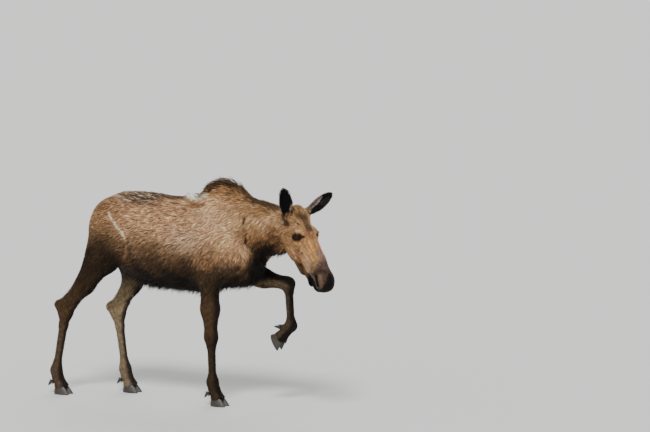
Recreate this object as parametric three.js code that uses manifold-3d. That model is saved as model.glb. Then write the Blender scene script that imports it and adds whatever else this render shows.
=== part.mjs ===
// A cow moose, life size, walking with its left foreleg raised and its head low and turned to its right.
//
// Frame: millimetres, +Z up, floor at Z 0. The animal faces -Y and its left side is +X.
// The flesh is one smooth body, blended from named muscles and bones, and is parted with thin flat cuts.

import * as THREE from "three";
import { mergeVertices } from "three/addons/utils/BufferGeometryUtils.js";
import Module from "manifold-3d";

const wasm = await Module();
wasm.setup();

// ---------------------------------------------------------------------------------------------
// Driving dimensions, in millimetres and degrees. Places are [forward, left, up] from the point on
// the floor between the forefeet.
// ---------------------------------------------------------------------------------------------

const GAP = 0.4; // clearance between neighbouring pieces

// Facet sizes: across, across and along the piece.
const CELLS = {
  trunk: [70, 66, 100],
  neck: [56, 56, 78],
  head: [30, 32, 44],
  thigh: [52, 52, 66],
  gaskin: [37, 37, 62],
  forearm: [34, 34, 60],
  cannon: [24, 24, 60],
  pastern: [30, 30, 34],
  tail: [24, 24, 34],
};

const BACK_TOP = 1600; // the level back, with its coat
const CHEST_BOTTOM = 878;
const CHEST_HALF_WIDTH = 238;
const BELLY_BOTTOM = 890;
const BELLY_HALF_WIDTH = 278;
const HUMP_TOP = 1757;
const RUMP_END = -1065;

const HEAD = {
  poll: [765, -128, 1592],
  pitch: 56.5, // of the face, below level
  turn: 18, // to the right
  length: 665,
};

const LEGS = {
  right_fore: {
    side: -1,
    shoulder: [205, -172, 1185],
    elbow: [2, -168, 985],
    knee: [4, -140, 525],
    sole: [56, -106, 0],
  },
  left_fore: {
    side: 1,
    shoulder: [240, 165, 1190],
    elbow: [80, 165, 1005],
    knee: [518, 160, 946],
    fetlock: [541, 158, 622],
    footPitch: -62, // the raised foot hangs, toe down and back
  },
  right_hind: {
    side: -1,
    hip: [-860, -120, 1400],
    stifle: [-935, -178, 1055],
    hock: [-1258, -150, 636],
    sole: [-1284, -145, 0],
  },
  left_hind: {
    side: 1,
    hip: [-870, 120, 1390],
    stifle: [-750, 178, 1035],
    hock: [-960, 158, 606],
    sole: [-850, 172, 0],
  },
};

const FOOT = {
  fetlock: [-58, 0, 182], // from the middle of the sole
  coronet: [-14, 0, 56],
  coronetSlope: 0.4, // rise toward the toe
  soleLength: 130,
  toeWidth: 54,
  toeSpread: 31, // of each toe's middle from the foot's middle
  toeTurn: 5,
  corners: 12,
  dewclaw: { root: [-84, 27, 104], tip: [-112, 33, 62], width: 32 },
};

const EAR = {
  width: 108,
  depth: 38, // of the cup at its root
  wall: 10,
  rings: 6,
  sides: 5,
  // In the head's frame. The left ear points out sideways, and the right one up.
  poses: {
    ear_left: { root: [40, 92, -50], tip: [-50, 330, 70], opening: [0.5, -0.1, 0.8] },
    ear_right: { root: [46, -100, -62], tip: [-140, -168, 82], opening: [0.6, -0.5, 0.6] },
  },
};
const EYE = { place: [208, 98, -54], radius: 21 }; // in the head's frame
const TAIL = { root: [-1045, 0, 1432], tip: [-1098, 0, 1338], width: 66 };

// ---------------------------------------------------------------------------------------------
// Shapes as signed distances: a negative value is inside.
// ---------------------------------------------------------------------------------------------

const toRadians = THREE.MathUtils.degToRad;
const mix = THREE.MathUtils.lerp;
const clamp01 = (t) => Math.min(1, Math.max(0, t));
const minus = (a, b) => [a[0] - b[0], a[1] - b[1], a[2] - b[2]];
const plus = (a, b, k = 1) => [a[0] + k * b[0], a[1] + k * b[1], a[2] + k * b[2]];
const dot = (a, b) => a[0] * b[0] + a[1] * b[1] + a[2] * b[2];
const cross = (a, b) => [
  a[1] * b[2] - a[2] * b[1],
  a[2] * b[0] - a[0] * b[2],
  a[0] * b[1] - a[1] * b[0],
];
const unit = (a) => a.map((x) => x / Math.hypot(...a));
const between = (a, b, t) => [mix(a[0], b[0], t), mix(a[1], b[1], t), mix(a[2], b[2], t)];
const mirrored = ([f, l, u]) => [f, -l, u];

// An ellipsoid with radii forward, sideways and up.
function ellipsoid(centre, radii) {
  return (p) => {
    const q = minus(p, centre);
    const near = Math.hypot(q[0] / radii[0], q[1] / radii[1], q[2] / radii[2]);
    const slope = Math.hypot(q[0] / radii[0] ** 2, q[1] / radii[1] ** 2, q[2] / radii[2] ** 2);
    return slope < 1e-9 ? -Math.min(...radii) : (near * (near - 1)) / slope;
  };
}

// A rod with round ends whose radius runs from ra to rb. flat is its thickness across over its thickness
// seen from the side.
function rod(a, b, ra, rb, flat = 1) {
  const ab = minus(b, a);
  const length2 = dot(ab, ab);
  return (p) => {
    const t = clamp01(dot(minus(p, a), ab) / length2);
    const q = minus(p, plus(a, ab, t));
    return (Math.hypot(q[0], q[1] / flat, q[2]) - mix(ra, rb, t)) * Math.min(1, flat);
  };
}

function blend(k, a, b) {
  const h = Math.max(k - Math.abs(a - b), 0) / k;
  return Math.min(a, b) - (h * h * k) / 4;
}

// The shapes melted together over a width k.
function union(k, ...shapes) {
  return (p) => shapes.reduce((d, shape) => blend(k, d, shape(p)), Infinity);
}

const bothSides = (make) => [make((q) => q), make(mirrored)];

// ---------------------------------------------------------------------------------------------
// The body
// ---------------------------------------------------------------------------------------------

function torso() {
  const backRadius = 118;
  const back = BACK_TOP - backRadius;
  return union(
    95,
    ellipsoid(
      [-170, 0, (CHEST_BOTTOM + 1530) / 2],
      [450, CHEST_HALF_WIDTH, (1530 - CHEST_BOTTOM) / 2],
    ),
    ellipsoid(
      [-500, 0, (BELLY_BOTTOM + 1500) / 2],
      [400, BELLY_HALF_WIDTH, (1500 - BELLY_BOTTOM) / 2],
    ),
    rod([-190, 0, back - 8], [-790, 0, back - 16], backRadius, backRadius - 6), // back and loin
    ellipsoid([-650, 0, 1385], [330, 222, 190]), // hips
    ellipsoid([-850, 0, 1370], [190, 190, 165]), // pelvis
    ellipsoid([RUMP_END + 105, 0, 1320], [105, 150, 160]), // rump
    ellipsoid([215, 0, 1120], [165, 150, 175]), // breast
  );
}

// The ridge over the shoulder blades, with its mane.
function hump() {
  return union(
    60,
    ellipsoid([40, 0, 1450], [240, 135, 215]),
    ellipsoid([70, 0, HUMP_TOP - 205], [226, 92, 205]),
    rod([130, 0, 1575], [350, -12, 1518], 84, 84, 0.62),
  );
}

function neck() {
  return union(
    60,
    rod([170, 0, 1345], [470, -25, 1404], 225, 168, 0.68),
    rod([440, -18, 1408], [690, -108, 1432], 166, 136, 0.7),
    rod([330, -5, 1262], [645, -86, 1288], 34, 36, 0.7), // throat, with its fringe
  );
}

function shoulders() {
  return union(
    60,
    ...[LEGS.right_fore, LEGS.left_fore].flatMap((leg) => [
      rod([-10, leg.side * 95, 1500], leg.shoulder, 95, 112, 0.8), // shoulder blade
      rod(leg.shoulder, leg.elbow, 112, 84, 0.75), // upper arm
      rod([-60, leg.side * 150, 1220], plus(leg.elbow, [0, 0, 40]), 105, 72, 0.7), // triceps
    ]),
  );
}

function thigh(leg) {
  const { side, hip, stifle, hock } = leg;
  return union(
    60,
    rod(hip, stifle, 150, 108, 0.72),
    rod([RUMP_END + 110, side * 95, 1280], between(stifle, hock, 0.4), 108, 74, 0.72), // hamstrings
    rod([-745, side * 160, 1400], plus(stifle, [95, side * 5, 8]), 62, 62, 0.8), // flank fold
  );
}

function gaskin({ stifle, hock }) {
  const shin = unit(minus(hock, stifle));
  const rise = 0.22; // the point of the hock lies behind the joint and a little above it
  const point = plus(hock, unit([shin[2], 0, rise - shin[0]]), 86);
  return union(
    42,
    rod(stifle, between(stifle, hock, 0.5), 86, 57, 0.68),
    rod(between(stifle, hock, 0.45), hock, 58, 47, 0.72),
    rod(between(stifle, hock, 0.25), point, 52, 23, 0.62), // Achilles tendon
    rod(hock, point, 42, 24, 0.66),
  );
}

function hindCannon(leg, fetlock) {
  const { hock } = leg;
  return union(
    20,
    rod(hock, between(hock, fetlock, 0.22), 50, 37, 0.72),
    rod(between(hock, fetlock, 0.2), between(hock, fetlock, 0.9), 36, 32, 0.78),
    rod(between(hock, fetlock, 0.88), fetlock, 34, 43, 0.82),
  );
}

function forearm(leg) {
  const { elbow, knee } = leg;
  return union(
    30,
    rod(elbow, between(elbow, knee, 0.5), 81, 76, 0.72),
    rod(between(elbow, knee, 0.5), between(elbow, knee, 0.92), 76, 49, 0.76),
    rod(between(elbow, knee, 0.93), knee, 49, 51, 0.84), // knee
  );
}

function foreCannon(leg, fetlock) {
  const { knee } = leg;
  return union(
    20,
    rod(knee, between(knee, fetlock, 0.16), 49, 37, 0.84),
    rod(between(knee, fetlock, 0.15), between(knee, fetlock, 0.9), 35, 32, 0.8),
    rod(between(knee, fetlock, 0.88), fetlock, 34, 42, 0.84),
  );
}

// A foot's own frame: forward, left and up from the middle of its sole.
function footFrame(leg) {
  const pitch = toRadians(leg.footPitch ?? 0);
  const turn = ([f, l, u]) => [
    f * Math.cos(pitch) - u * Math.sin(pitch),
    l,
    f * Math.sin(pitch) + u * Math.cos(pitch),
  ];
  const sole = leg.sole ?? minus(leg.fetlock, turn(FOOT.fetlock));
  return { place: (q) => plus(sole, turn(q)), turn };
}

function pastern(foot) {
  const [fetlock, coronet] = [FOOT.fetlock, FOOT.coronet].map(foot.place);
  return union(
    22,
    rod(fetlock, coronet, 42, 45, 1.05),
    rod(coronet, foot.place([14, 0, 40]), 50, 46, 1.1),
    rod(fetlock, foot.place([-62, 0, 118]), 38, 30, 0.95), // heel pad, between the dewclaws
  );
}

// ---------------------------------------------------------------------------------------------
// The head, in its own frame: along the face from the poll to the lips, left, and out of the forehead.
// ---------------------------------------------------------------------------------------------

const headAxes = (() => {
  const pitch = toRadians(HEAD.pitch);
  const turn = toRadians(HEAD.turn);
  const forward = [Math.cos(turn), -Math.sin(turn), 0];
  return {
    face: plus(forward.map((x) => x * Math.cos(pitch)), [0, 0, -Math.sin(pitch)]),
    left: [Math.sin(turn), Math.cos(turn), 0],
    brow: plus(forward.map((x) => x * Math.sin(pitch)), [0, 0, Math.cos(pitch)]),
  };
})();

const headPlace = ([a, l, d]) =>
  plus(plus(plus(HEAD.poll, headAxes.face, a), headAxes.left, l), headAxes.brow, d);

function inHead(shape) {
  return (p) => {
    const q = minus(p, HEAD.poll);
    return shape([dot(q, headAxes.face), dot(q, headAxes.left), dot(q, headAxes.brow)]);
  };
}

function head() {
  const L = HEAD.length;
  const sides = bothSides((side) => [
    ellipsoid(side([245, 54, -165]), [135, 44, 95]), // cheek
    ellipsoid(side([200, 78, -48]), [54, 34, 36]), // brow over the eye
    rod(side([255, 70, -95]), side([520, 46, -95]), 48, 54), // side of the face
    ellipsoid(side([L - 85, 48, -88]), [64, 38, 58]), // nostril swell
    rod(side([60, 72, -62]), side([22, 100, -42]), 42, 30), // ear root
  ]).flat();
  return union(
    26,
    ellipsoid([95, 0, -92], [135, 92, 92]), // skull
    ellipsoid([20, 5, -42], [62, 62, 44]), // tuft of hair on the poll
    ellipsoid([215, 0, -120], [150, 78, 110]),
    rod([190, 0, -74], [430, 0, -70], 82, 74, 0.95), // bridge of the nose
    rod([430, 0, -72], [L - 110, 0, -84], 74, 82, 0.88),
    ellipsoid([L - 85, 0, -96], [85, 74, 90]), // muzzle
    ellipsoid([L - 58, 0, -130], [56, 64, 64]), // overhanging upper lip
    ellipsoid([L - 53, 0, -68], [74, 60, 64]), // front of the nose
    rod([190, 0, -232], [420, 0, -220], 55, 46, 0.9), // lower jaw
    rod([300, 0, -165], [480, 0, -165], 46, 40, 1.1), // floor of the mouth
    rod([462, 0, -182], [L - 118, 0, -201], 36, 37, 1.12), // chin
    ...sides,
  );
}

// ---------------------------------------------------------------------------------------------
// From shapes to closed meshes
// ---------------------------------------------------------------------------------------------

function gradient(shape, p, step = 1) {
  return [0, 1, 2].map((axis) => {
    const a = [...p];
    const b = [...p];
    a[axis] += step;
    b[axis] -= step;
    return (shape(a) - shape(b)) / (2 * step);
  });
}

// Moves p onto the surface of shape.
function settle(shape, p, rounds = 3) {
  for (let i = 0; i < rounds; i++) {
    const g = gradient(shape, p);
    p = plus(p, g, -shape(p) / Math.max(dot(g, g), 0.05));
  }
  return p;
}

// The surface of shape inside the box from low to high, as quads with one vertex for each cell that the
// surface crosses, each settled on the surface. The box and the cell's three sides are in a frame of their
// own, and the vertices that come out are in body axes.
function surface(shape, frame, [low, high], cell) {
  const local = (q) => shape(frame.place(q));
  const count = low.map((x, n) => Math.ceil((high[n] - x) / cell[n]) + 2);
  const corner = (i, j, k) => (i * count[1] + j) * count[2] + k;
  const place = (...at) =>
    at.map((steps, n) => (low[n] + high[n]) / 2 + (steps - (count[n] - 1) / 2) * cell[n]);
  const values = new Float64Array(count[0] * count[1] * count[2]);
  const eachCorner = (visit) => {
    for (let i = 0; i < count[0]; i++)
      for (let j = 0; j < count[1]; j++) for (let k = 0; k < count[2]; k++) visit(i, j, k);
  };
  eachCorner((i, j, k) => {
    const rim = [i, j, k].some((n, axis) => n === 0 || n === count[axis] - 1);
    values[corner(i, j, k)] = rim ? cell[0] : local(place(i, j, k));
  });
  const vertices = [];
  const triangles = [];
  const vertexOf = new Map();
  const steps = [
    [1, 0, 0],
    [0, 1, 0],
    [0, 0, 1],
  ];
  eachCorner((i, j, k) => {
    if (i + 1 >= count[0] || j + 1 >= count[1] || k + 1 >= count[2]) return;
    const crossings = [];
    for (let axis = 0; axis < 3; axis++)
      for (let side = 0; side < 4; side++) {
        const from = [i, j, k];
        from[(axis + 1) % 3] += side & 1;
        from[(axis + 2) % 3] += side >> 1;
        const to = plus(from, steps[axis]);
        const a = values[corner(...from)];
        const b = values[corner(...to)];
        if (a < 0 !== b < 0) crossings.push(between(place(...from), place(...to), a / (a - b)));
      }
    if (!crossings.length) return;
    const middle = crossings.reduce((sum, q) => plus(sum, q, 1 / crossings.length), [0, 0, 0]);
    const settled = settle(local, middle);
    const moved = Math.hypot(...minus(settled, middle));
    vertexOf.set(corner(i, j, k), vertices.length);
    vertices.push(moved < cell[0] ? settled : middle);
  });
  eachCorner((i, j, k) => {
    for (let axis = 0; axis < 3; axis++) {
      const next = plus([i, j, k], steps[axis]);
      if (next.some((x, n) => x >= count[n])) continue;
      const a = values[corner(i, j, k)] < 0;
      const b = values[corner(...next)] < 0;
      if (a === b) continue;
      const u = steps[(axis + 1) % 3];
      const v = steps[(axis + 2) % 3];
      const here = [i, j, k];
      const around = [here, minus(here, u), minus(minus(here, u), v), minus(here, v)];
      const quad = around.map((q) => vertexOf.get(corner(...q)));
      if (!a) quad.reverse();
      const spread = (m, n) => Math.hypot(...minus(vertices[quad[m]], vertices[quad[n]]));
      const split = spread(0, 2) < spread(1, 3) ? [0, 1, 2, 0, 2, 3] : [1, 2, 3, 1, 3, 0];
      triangles.push(...split.map((n) => quad[n]));
    }
  });
  return { vertices: vertices.map(frame.place), triangles };
}

// A frame for a long piece: its third axis runs from a to b, and its second is level.
function frameAlong(a, b) {
  const w = unit(minus(b, a));
  const u = unit(cross([0, 1, 0], w));
  const v = cross(w, u);
  return {
    place: ([x, y, z]) => plus(plus(plus(a, u, x), v, y), w, z),
    local: (p) => [dot(minus(p, a), u), dot(minus(p, a), v), dot(minus(p, a), w)],
  };
}

const toPart = ([forward, left, up]) => [left, -forward, up];

function solidFrom({ vertices, triangles }) {
  const solid = new wasm.Manifold(
    new wasm.Mesh({
      numProp: 3,
      vertProperties: new Float32Array(vertices.flatMap(toPart)),
      triVerts: new Uint32Array(triangles),
    }),
  );
  if (solid.volume() < 0) throw new Error("a surface is inside out");
  return solid;
}

function solidFromGeometry(geometry) {
  const bare = geometry.clone();
  bare.deleteAttribute("normal");
  bare.deleteAttribute("uv");
  const merged = mergeVertices(bare, 1e-4);
  return new wasm.Manifold(
    new wasm.Mesh({
      numProp: 3,
      vertProperties: new Float32Array(merged.attributes.position.array),
      triVerts: new Uint32Array(merged.index.array),
    }),
  );
}

// A plane keeps what lies on the side that its normal points to. Both are in body axes.
const plane = (point, normal) => ({ point, normal: unit(normal) });
const flipped = ({ point, normal }) => ({ point, normal: normal.map((x) => -x) });
const outside = ({ point, normal }, p) => -dot(minus(p, point), normal);

// The space on the kept side of a plane, moved by inset into that side, as a great box.
function halfSpace({ point, normal }, inset = GAP / 2) {
  const size = 6000;
  const box = new THREE.BoxGeometry(size, size, size);
  const direction = new THREE.Vector3(...toPart(normal));
  const centre = new THREE.Vector3(...toPart(plus(point, normal, inset + size / 2)));
  const turn = new THREE.Quaternion().setFromUnitVectors(new THREE.Vector3(0, 0, 1), direction);
  box.applyMatrix4(new THREE.Matrix4().compose(centre, turn, new THREE.Vector3(1, 1, 1)));
  return solidFromGeometry(box);
}

const largest = (solid) => solid.decompose().sort((a, b) => b.volume() - a.volume())[0];
const intersected = (solids) => solids.reduce((a, b) => a.intersect(b));

// The part of shape within the box that lies on the kept side of every plane.
function cutPiece(shape, cell, frame, box, planes) {
  const margin = 0.7 * Math.max(...cell);
  const bounded = (p) => {
    let d = shape(p);
    for (const cut of planes) d = Math.max(d, outside(cut, p) - margin);
    return d;
  };
  const solid = solidFrom(surface(bounded, frame, box, cell));
  return largest(intersected([solid, ...planes.map((cut) => halfSpace(cut))]));
}

// ---------------------------------------------------------------------------------------------
// Assembly
// ---------------------------------------------------------------------------------------------

const moose = new THREE.Group();
moose.name = "moose";

const MATERIALS = {
  coat: new THREE.MeshStandardMaterial({ color: 0x6b5344, roughness: 0.9, metalness: 0 }),
  dark_coat: new THREE.MeshStandardMaterial({ color: 0x2e241d, roughness: 0.9, metalness: 0 }),
  hoof: new THREE.MeshStandardMaterial({ color: 0x1d1a18, roughness: 0.5, metalness: 0 }),
  eye: new THREE.MeshStandardMaterial({ color: 0x1a0f0a, roughness: 0.1, metalness: 0 }),
};

function addSolid(name, solid, material) {
  const mesh = solid.getMesh();
  const geometry = new THREE.BufferGeometry();
  geometry.setAttribute("position", new THREE.BufferAttribute(new Float32Array(mesh.vertProperties), 3));
  geometry.setIndex(new THREE.BufferAttribute(new Uint32Array(mesh.triVerts), 1));
  geometry.computeVertexNormals();
  const piece = new THREE.Mesh(geometry, material);
  piece.name = name;
  moose.add(piece);
}

// The whole flesh, as one shape.
const legShapes = {};
const upperParts = [];
for (const [name, leg] of Object.entries(LEGS)) {
  const foot = footFrame(leg);
  const fetlock = foot.place(FOOT.fetlock);
  const fore = Boolean(leg.knee);
  const lower = fore
    ? union(24, forearm(leg), foreCannon(leg, fetlock), pastern(foot))
    : union(24, gaskin(leg), hindCannon(leg, fetlock), pastern(foot));
  legShapes[name] = { leg, foot, fetlock, fore, lower };
  if (!fore) upperParts.push(thigh(leg));
}
const trunkShape = union(70, union(60, torso(), hump(), neck()), shoulders(), ...upperParts);
const headShape = inHead(head());
const flesh = union(45, trunkShape, ...Object.values(legShapes).map((part) => part.lower));
const wholeBody = union(38, flesh, headShape);

// Cuts. Each plane keeps the side that its normal points to.
const neckCut = plane([300, 0, 1400], [1, -0.12, 0.5]);
const throatCut = plane([0, 0, 1130], [0, 0, 1]);
const headCut = plane(headPlace([62, 0, -60]), plus(headAxes.face, headAxes.brow, 0.75));

const legRegions = {
  right_fore: [
    plane([0, -62, 900], [0, -1, 0]),
    plane([-180, 0, 900], [1, 0, 0]),
    plane([165, 0, 900], [-1, 0, 0]),
    plane([0, -170, 1010], [0, -0.25, -1]),
  ],
  left_fore: [
    plane([120, 0, 900], [1, 0, -0.15]),
    plane([0, 20, 900], [0, 1, 0]),
    plane([300, 170, 1085], [0.1, 0, -1]),
  ],
  right_hind: [
    plane([-690, 0, 1000], [-1, 0, -0.25]),
    plane([0, -30, 900], [0, -1, 0]),
    plane([-900, -178, 1285], [-0.35, -0.1, -1]),
  ],
  left_hind: [
    plane([-590, 0, 1000], [-1, 0, -0.25]),
    plane([0, 30, 900], [0, 1, 0]),
    plane([-850, 178, 1285], [-0.35, 0.1, -1]),
  ],
};

// The space within reach of the given points in a frame, as the corners of a box.
function around(frame, points, reach) {
  const places = points.map(frame.local);
  const edge = (pick, sign) => [0, 1, 2].map((n) => pick(...places.map((p) => p[n])) + sign * reach);
  return [edge(Math.min, -1), edge(Math.max, 1)];
}

// The skin pushed out a little, to cut what grows on it.
function cutter(clearance, cell, points, reach) {
  const frame = frameAlong(points[0], points[1]);
  const shape = (p) => wholeBody(p) - clearance;
  return solidFrom(surface(shape, frame, around(frame, points, reach), [cell, cell, cell]));
}

function buildTrunk() {
  const frame = frameAlong([-1200, 0, 1250], [500, 0, 1250]);
  const box = around(frame, [[-1260, -340, 820], [480, 340, 1820]], 0);
  let solid = cutPiece(wholeBody, CELLS.trunk, frame, box, [flipped(neckCut)]);
  for (const planes of Object.values(legRegions))
    solid = solid.subtract(intersected(planes.map((cut) => halfSpace(cut, -GAP / 2))));
  addSolid("trunk", largest(solid), MATERIALS.coat);
}

function buildNeck() {
  const planes = [neckCut, throatCut, flipped(headCut)];
  const frame = frameAlong([170, 0, 1345], [690, -108, 1436]);
  const box = around(frame, [[60, 260, 1080], [60, -260, 1800], [930, -380, 1300], [900, 60, 1760]], 0);
  addSolid("neck", cutPiece(wholeBody, CELLS.neck, frame, box, planes), MATERIALS.coat);
}

function eyeBall(side, grow = 0) {
  const { place, radius } = EYE;
  const ball = new THREE.SphereGeometry(radius + grow, 10, 7);
  ball.translate(...toPart(headPlace([place[0], side * place[1], place[2]])));
  return solidFromGeometry(ball);
}

function buildHead() {
  const frame = { place: ([x, y, z]) => headPlace([z, -y, x]) };
  const box = [
    [-380, -190, -30],
    [80, 190, HEAD.length + 60],
  ];
  let solid = cutPiece(wholeBody, CELLS.head, frame, box, [headCut]);
  for (const side of [1, -1]) solid = solid.subtract(eyeBall(side, GAP));
  addSolid("head", largest(solid), MATERIALS.coat);
  addSolid("eye_left", eyeBall(1), MATERIALS.eye);
  addSolid("eye_right", eyeBall(-1), MATERIALS.eye);
}

// A closed solid through rings of corners, with a flat fan over each end. The corners are in body axes.
function lofted(rings) {
  const count = rings[0].length;
  const middle = (ring) => ring.reduce((sum, p) => plus(sum, p, 1 / count), [0, 0, 0]);
  const vertices = [...rings.flat(), middle(rings[0]), middle(rings.at(-1))];
  const triangles = [];
  for (let i = 0; i + 1 < rings.length; i++)
    for (let j = 0; j < count; j++) {
      const a = i * count + j;
      const b = i * count + ((j + 1) % count);
      triangles.push(a, b, b + count, a, b + count, a + count);
    }
  const hub = rings.length * count;
  const last = hub - count;
  for (let j = 0; j < count; j++) {
    const next = (j + 1) % count;
    triangles.push(hub, next, j);
    triangles.push(hub + 1, last + j, last + next);
  }
  // The rings may turn either way: the faces are turned to point out.
  const rise = minus(middle(rings.at(-1)), middle(rings[0]));
  const spin = rings[0].reduce((sum, p, j, ring) => plus(sum, cross(p, ring[(j + 1) % count])), [0, 0, 0]);
  if (dot(rise, spin) < 0) triangles.reverse();
  return solidFrom({ vertices, triangles });
}

// An ear is a pointed leaf, cupped along its length. The opening is a direction in the head's frame.
function earSolid({ root, tip, opening }) {
  const { width, depth, wall, rings, sides } = EAR;
  const start = headPlace(root);
  const end = headPlace(tip);
  const along = unit(minus(end, start));
  const faced = minus(headPlace(opening), HEAD.poll);
  const mouth = unit(plus(faced, along, -dot(faced, along)));
  const across = cross(along, mouth);
  const length = Math.hypot(...minus(end, start));
  const oval = (t) => Math.sqrt(Math.max(0, 1 - ((t - 0.45) / 0.56) ** 2));
  const leaf = (t) => oval(t) * mix(0.7, 1, Math.min(1, t * 2)); // narrower at its root
  const ring = (t) => {
    const half = Math.max((width / 2) * leaf(t), 6);
    const cup = depth * mix(1, 0.25, t);
    const place = (x, y) => plus(plus(plus(start, along, t * length), across, x), mouth, y);
    const front = [];
    const back = [];
    for (let n = 0; n <= sides; n++) {
      const s = (n / sides) * 2 - 1;
      const y = -cup * (1 - s * s);
      front.push(place(s * half, y));
      back.unshift(place(s * half, y - wall * (1 - 0.4 * s * s)));
    }
    return [...back, ...front];
  };
  return lofted(Array.from({ length: rings + 1 }, (_, n) => ring(n / rings)));
}

function buildEars() {
  for (const [name, pose] of Object.entries(EAR.poses)) {
    const [root, tip] = [headPlace(pose.root), headPlace(pose.tip)];
    const ends = [between(root, tip, 0.05), between(root, tip, -0.05)];
    const solid = earSolid(pose).subtract(cutter(3, 31, ends, 110));
    addSolid(name, largest(solid), MATERIALS.coat);
  }
}

function buildTail() {
  const { root, tip, width } = TAIL;
  const frame = frameAlong(root, tip);
  const shape = rod(root, tip, width / 2, width / 3, 0.8);
  const solid = solidFrom(surface(shape, frame, around(frame, [root, tip], 60), CELLS.tail));
  addSolid("tail", largest(solid.subtract(cutter(4, 40, [root, tip], 120))), MATERIALS.coat);
}

// One toe's horn, from a flat sole up to the slanting coronet.
function toe(foot, side) {
  const { coronet, coronetSlope, soleLength, toeWidth, toeSpread, toeTurn, corners } = FOOT;
  const turn = toRadians(side * toeTurn);
  const outline = (heel, front, half, height) =>
    Array.from({ length: corners }, (_, n) => {
      const angle = (n / corners) * 2 * Math.PI;
      const along = (1 - Math.cos(angle)) / 2; // 0 at the heel, 1 at the toe
      const x = mix(heel, front, along);
      const y = half * Math.sin(angle) * mix(1, 0.72, Math.max(0, along * 2 - 1));
      const forward = x * Math.cos(turn) - y * Math.sin(turn);
      const sideways = side * toeSpread + x * Math.sin(turn) + y * Math.cos(turn);
      return foot.place([forward, sideways, height(forward)]);
    });
  const heel = -0.46 * soleLength;
  const front = 0.54 * soleLength;
  const top = (x) => coronet[2] + (x - coronet[0]) * coronetSlope - GAP;
  return lofted([
    outline(heel, front, toeWidth / 2 - 1, () => 0),
    outline(heel - 4, front - 3, toeWidth / 2 + 1, () => 7),
    outline(heel - 2, front - 52, toeWidth / 2 - 4, top),
  ]);
}

// A small blunt cone of horn.
function dewclaw(from, to, width) {
  const start = new THREE.Vector3(...toPart(from));
  const end = new THREE.Vector3(...toPart(to));
  const cone = new THREE.CylinderGeometry(width * 0.16, width / 2, start.distanceTo(end), 7, 1);
  const direction = end.clone().sub(start).normalize();
  const turn = new THREE.Quaternion().setFromUnitVectors(new THREE.Vector3(0, 1, 0), direction);
  const middle = start.clone().lerp(end, 0.5);
  cone.applyMatrix4(new THREE.Matrix4().compose(middle, turn, new THREE.Vector3(1, 1, 1)));
  return solidFromGeometry(cone);
}

function buildFoot(name, { leg, foot, fetlock }) {
  const { root, tip, width } = FOOT.dewclaw;
  const pastern = cutter(1.5, 27, [fetlock, foot.place([0, 0, 0])], 100);
  for (const [label, half] of [
    ["inner", -leg.side],
    ["outer", leg.side],
  ]) {
    addSolid(`${name}_hoof_${label}`, toe(foot, half), MATERIALS.hoof);
    const from = foot.place([root[0], half * root[1], root[2]]);
    const to = foot.place([tip[0], half * tip[1], tip[2]]);
    const claw = dewclaw(from, to, width).subtract(pastern);
    addSolid(`${name}_dewclaw_${label}`, largest(claw), MATERIALS.hoof);
  }
}

function buildLeg(name) {
  const { leg, foot, fetlock, fore } = legShapes[name];
  const joint = fore ? leg.knee : leg.hock;
  const start = fore ? leg.elbow : leg.stifle;
  const jointNormal = unit(minus(unit(minus(start, joint)), unit(minus(fetlock, joint))));
  const jointCut = plane(joint, jointNormal); // the upper side
  const fetlockCut = plane(fetlock, minus(joint, fetlock)); // the upper side
  const coronetCut = plane(foot.place(FOOT.coronet), foot.turn([-FOOT.coronetSlope, 0, 1]));
  const legSide = plane([0, 0, 0], [0, leg.side, 0]);
  const piece = (label, from, to, reach, planes, material) => {
    const frame = frameAlong(from, to);
    const box = around(frame, [from, to], reach);
    const solid = cutPiece(wholeBody, CELLS[label], frame, box, [...planes, legSide]);
    addSolid(`${name}_${label}`, solid, material);
  };
  const region = legRegions[name];
  if (fore) piece("forearm", start, joint, 260, [...region, jointCut], MATERIALS.coat);
  else {
    // The stifle's cut keeps the upper side.
    const stifleCut = plane(plus(start, [0, 0, 10]), plus(minus(start, joint), [-60, 0, 0]));
    const buttock = [RUMP_END + 110, leg.hip[1], 1300];
    piece("thigh", buttock, start, 290, [...region, stifleCut], MATERIALS.coat);
    piece("gaskin", start, joint, 230, [...region, flipped(stifleCut), jointCut], MATERIALS.coat);
  }
  piece("cannon", joint, fetlock, 120, [flipped(jointCut), fetlockCut], MATERIALS.dark_coat);
  const pasternCuts = [flipped(fetlockCut), coronetCut];
  piece("pastern", fetlock, foot.place([0, 0, 0]), 100, pasternCuts, MATERIALS.dark_coat);
  buildFoot(name, legShapes[name]);
}

buildTrunk();
buildNeck();
buildHead();
buildEars();
buildTail();
for (const name of Object.keys(LEGS)) buildLeg(name);

// The origin goes to the floor, under the middle of the animal's box.
const box = new THREE.Box3().setFromObject(moose);
const middle = box.getCenter(new THREE.Vector3());
moose.position.set(-middle.x, -middle.y, -box.min.z);

export default moose;
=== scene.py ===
"""A cow moose, life size and walking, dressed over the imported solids: one skin, its coat in locks of hair,
the eyes, the hooves and the dewclaws.

The anatomy is in body axes, in millimetres: [forward, left, up] from the floor between the forefeet.
Blender objects are in metres in the row frame, where the animal faces -Y.
"""

import math
from functools import reduce

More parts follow.
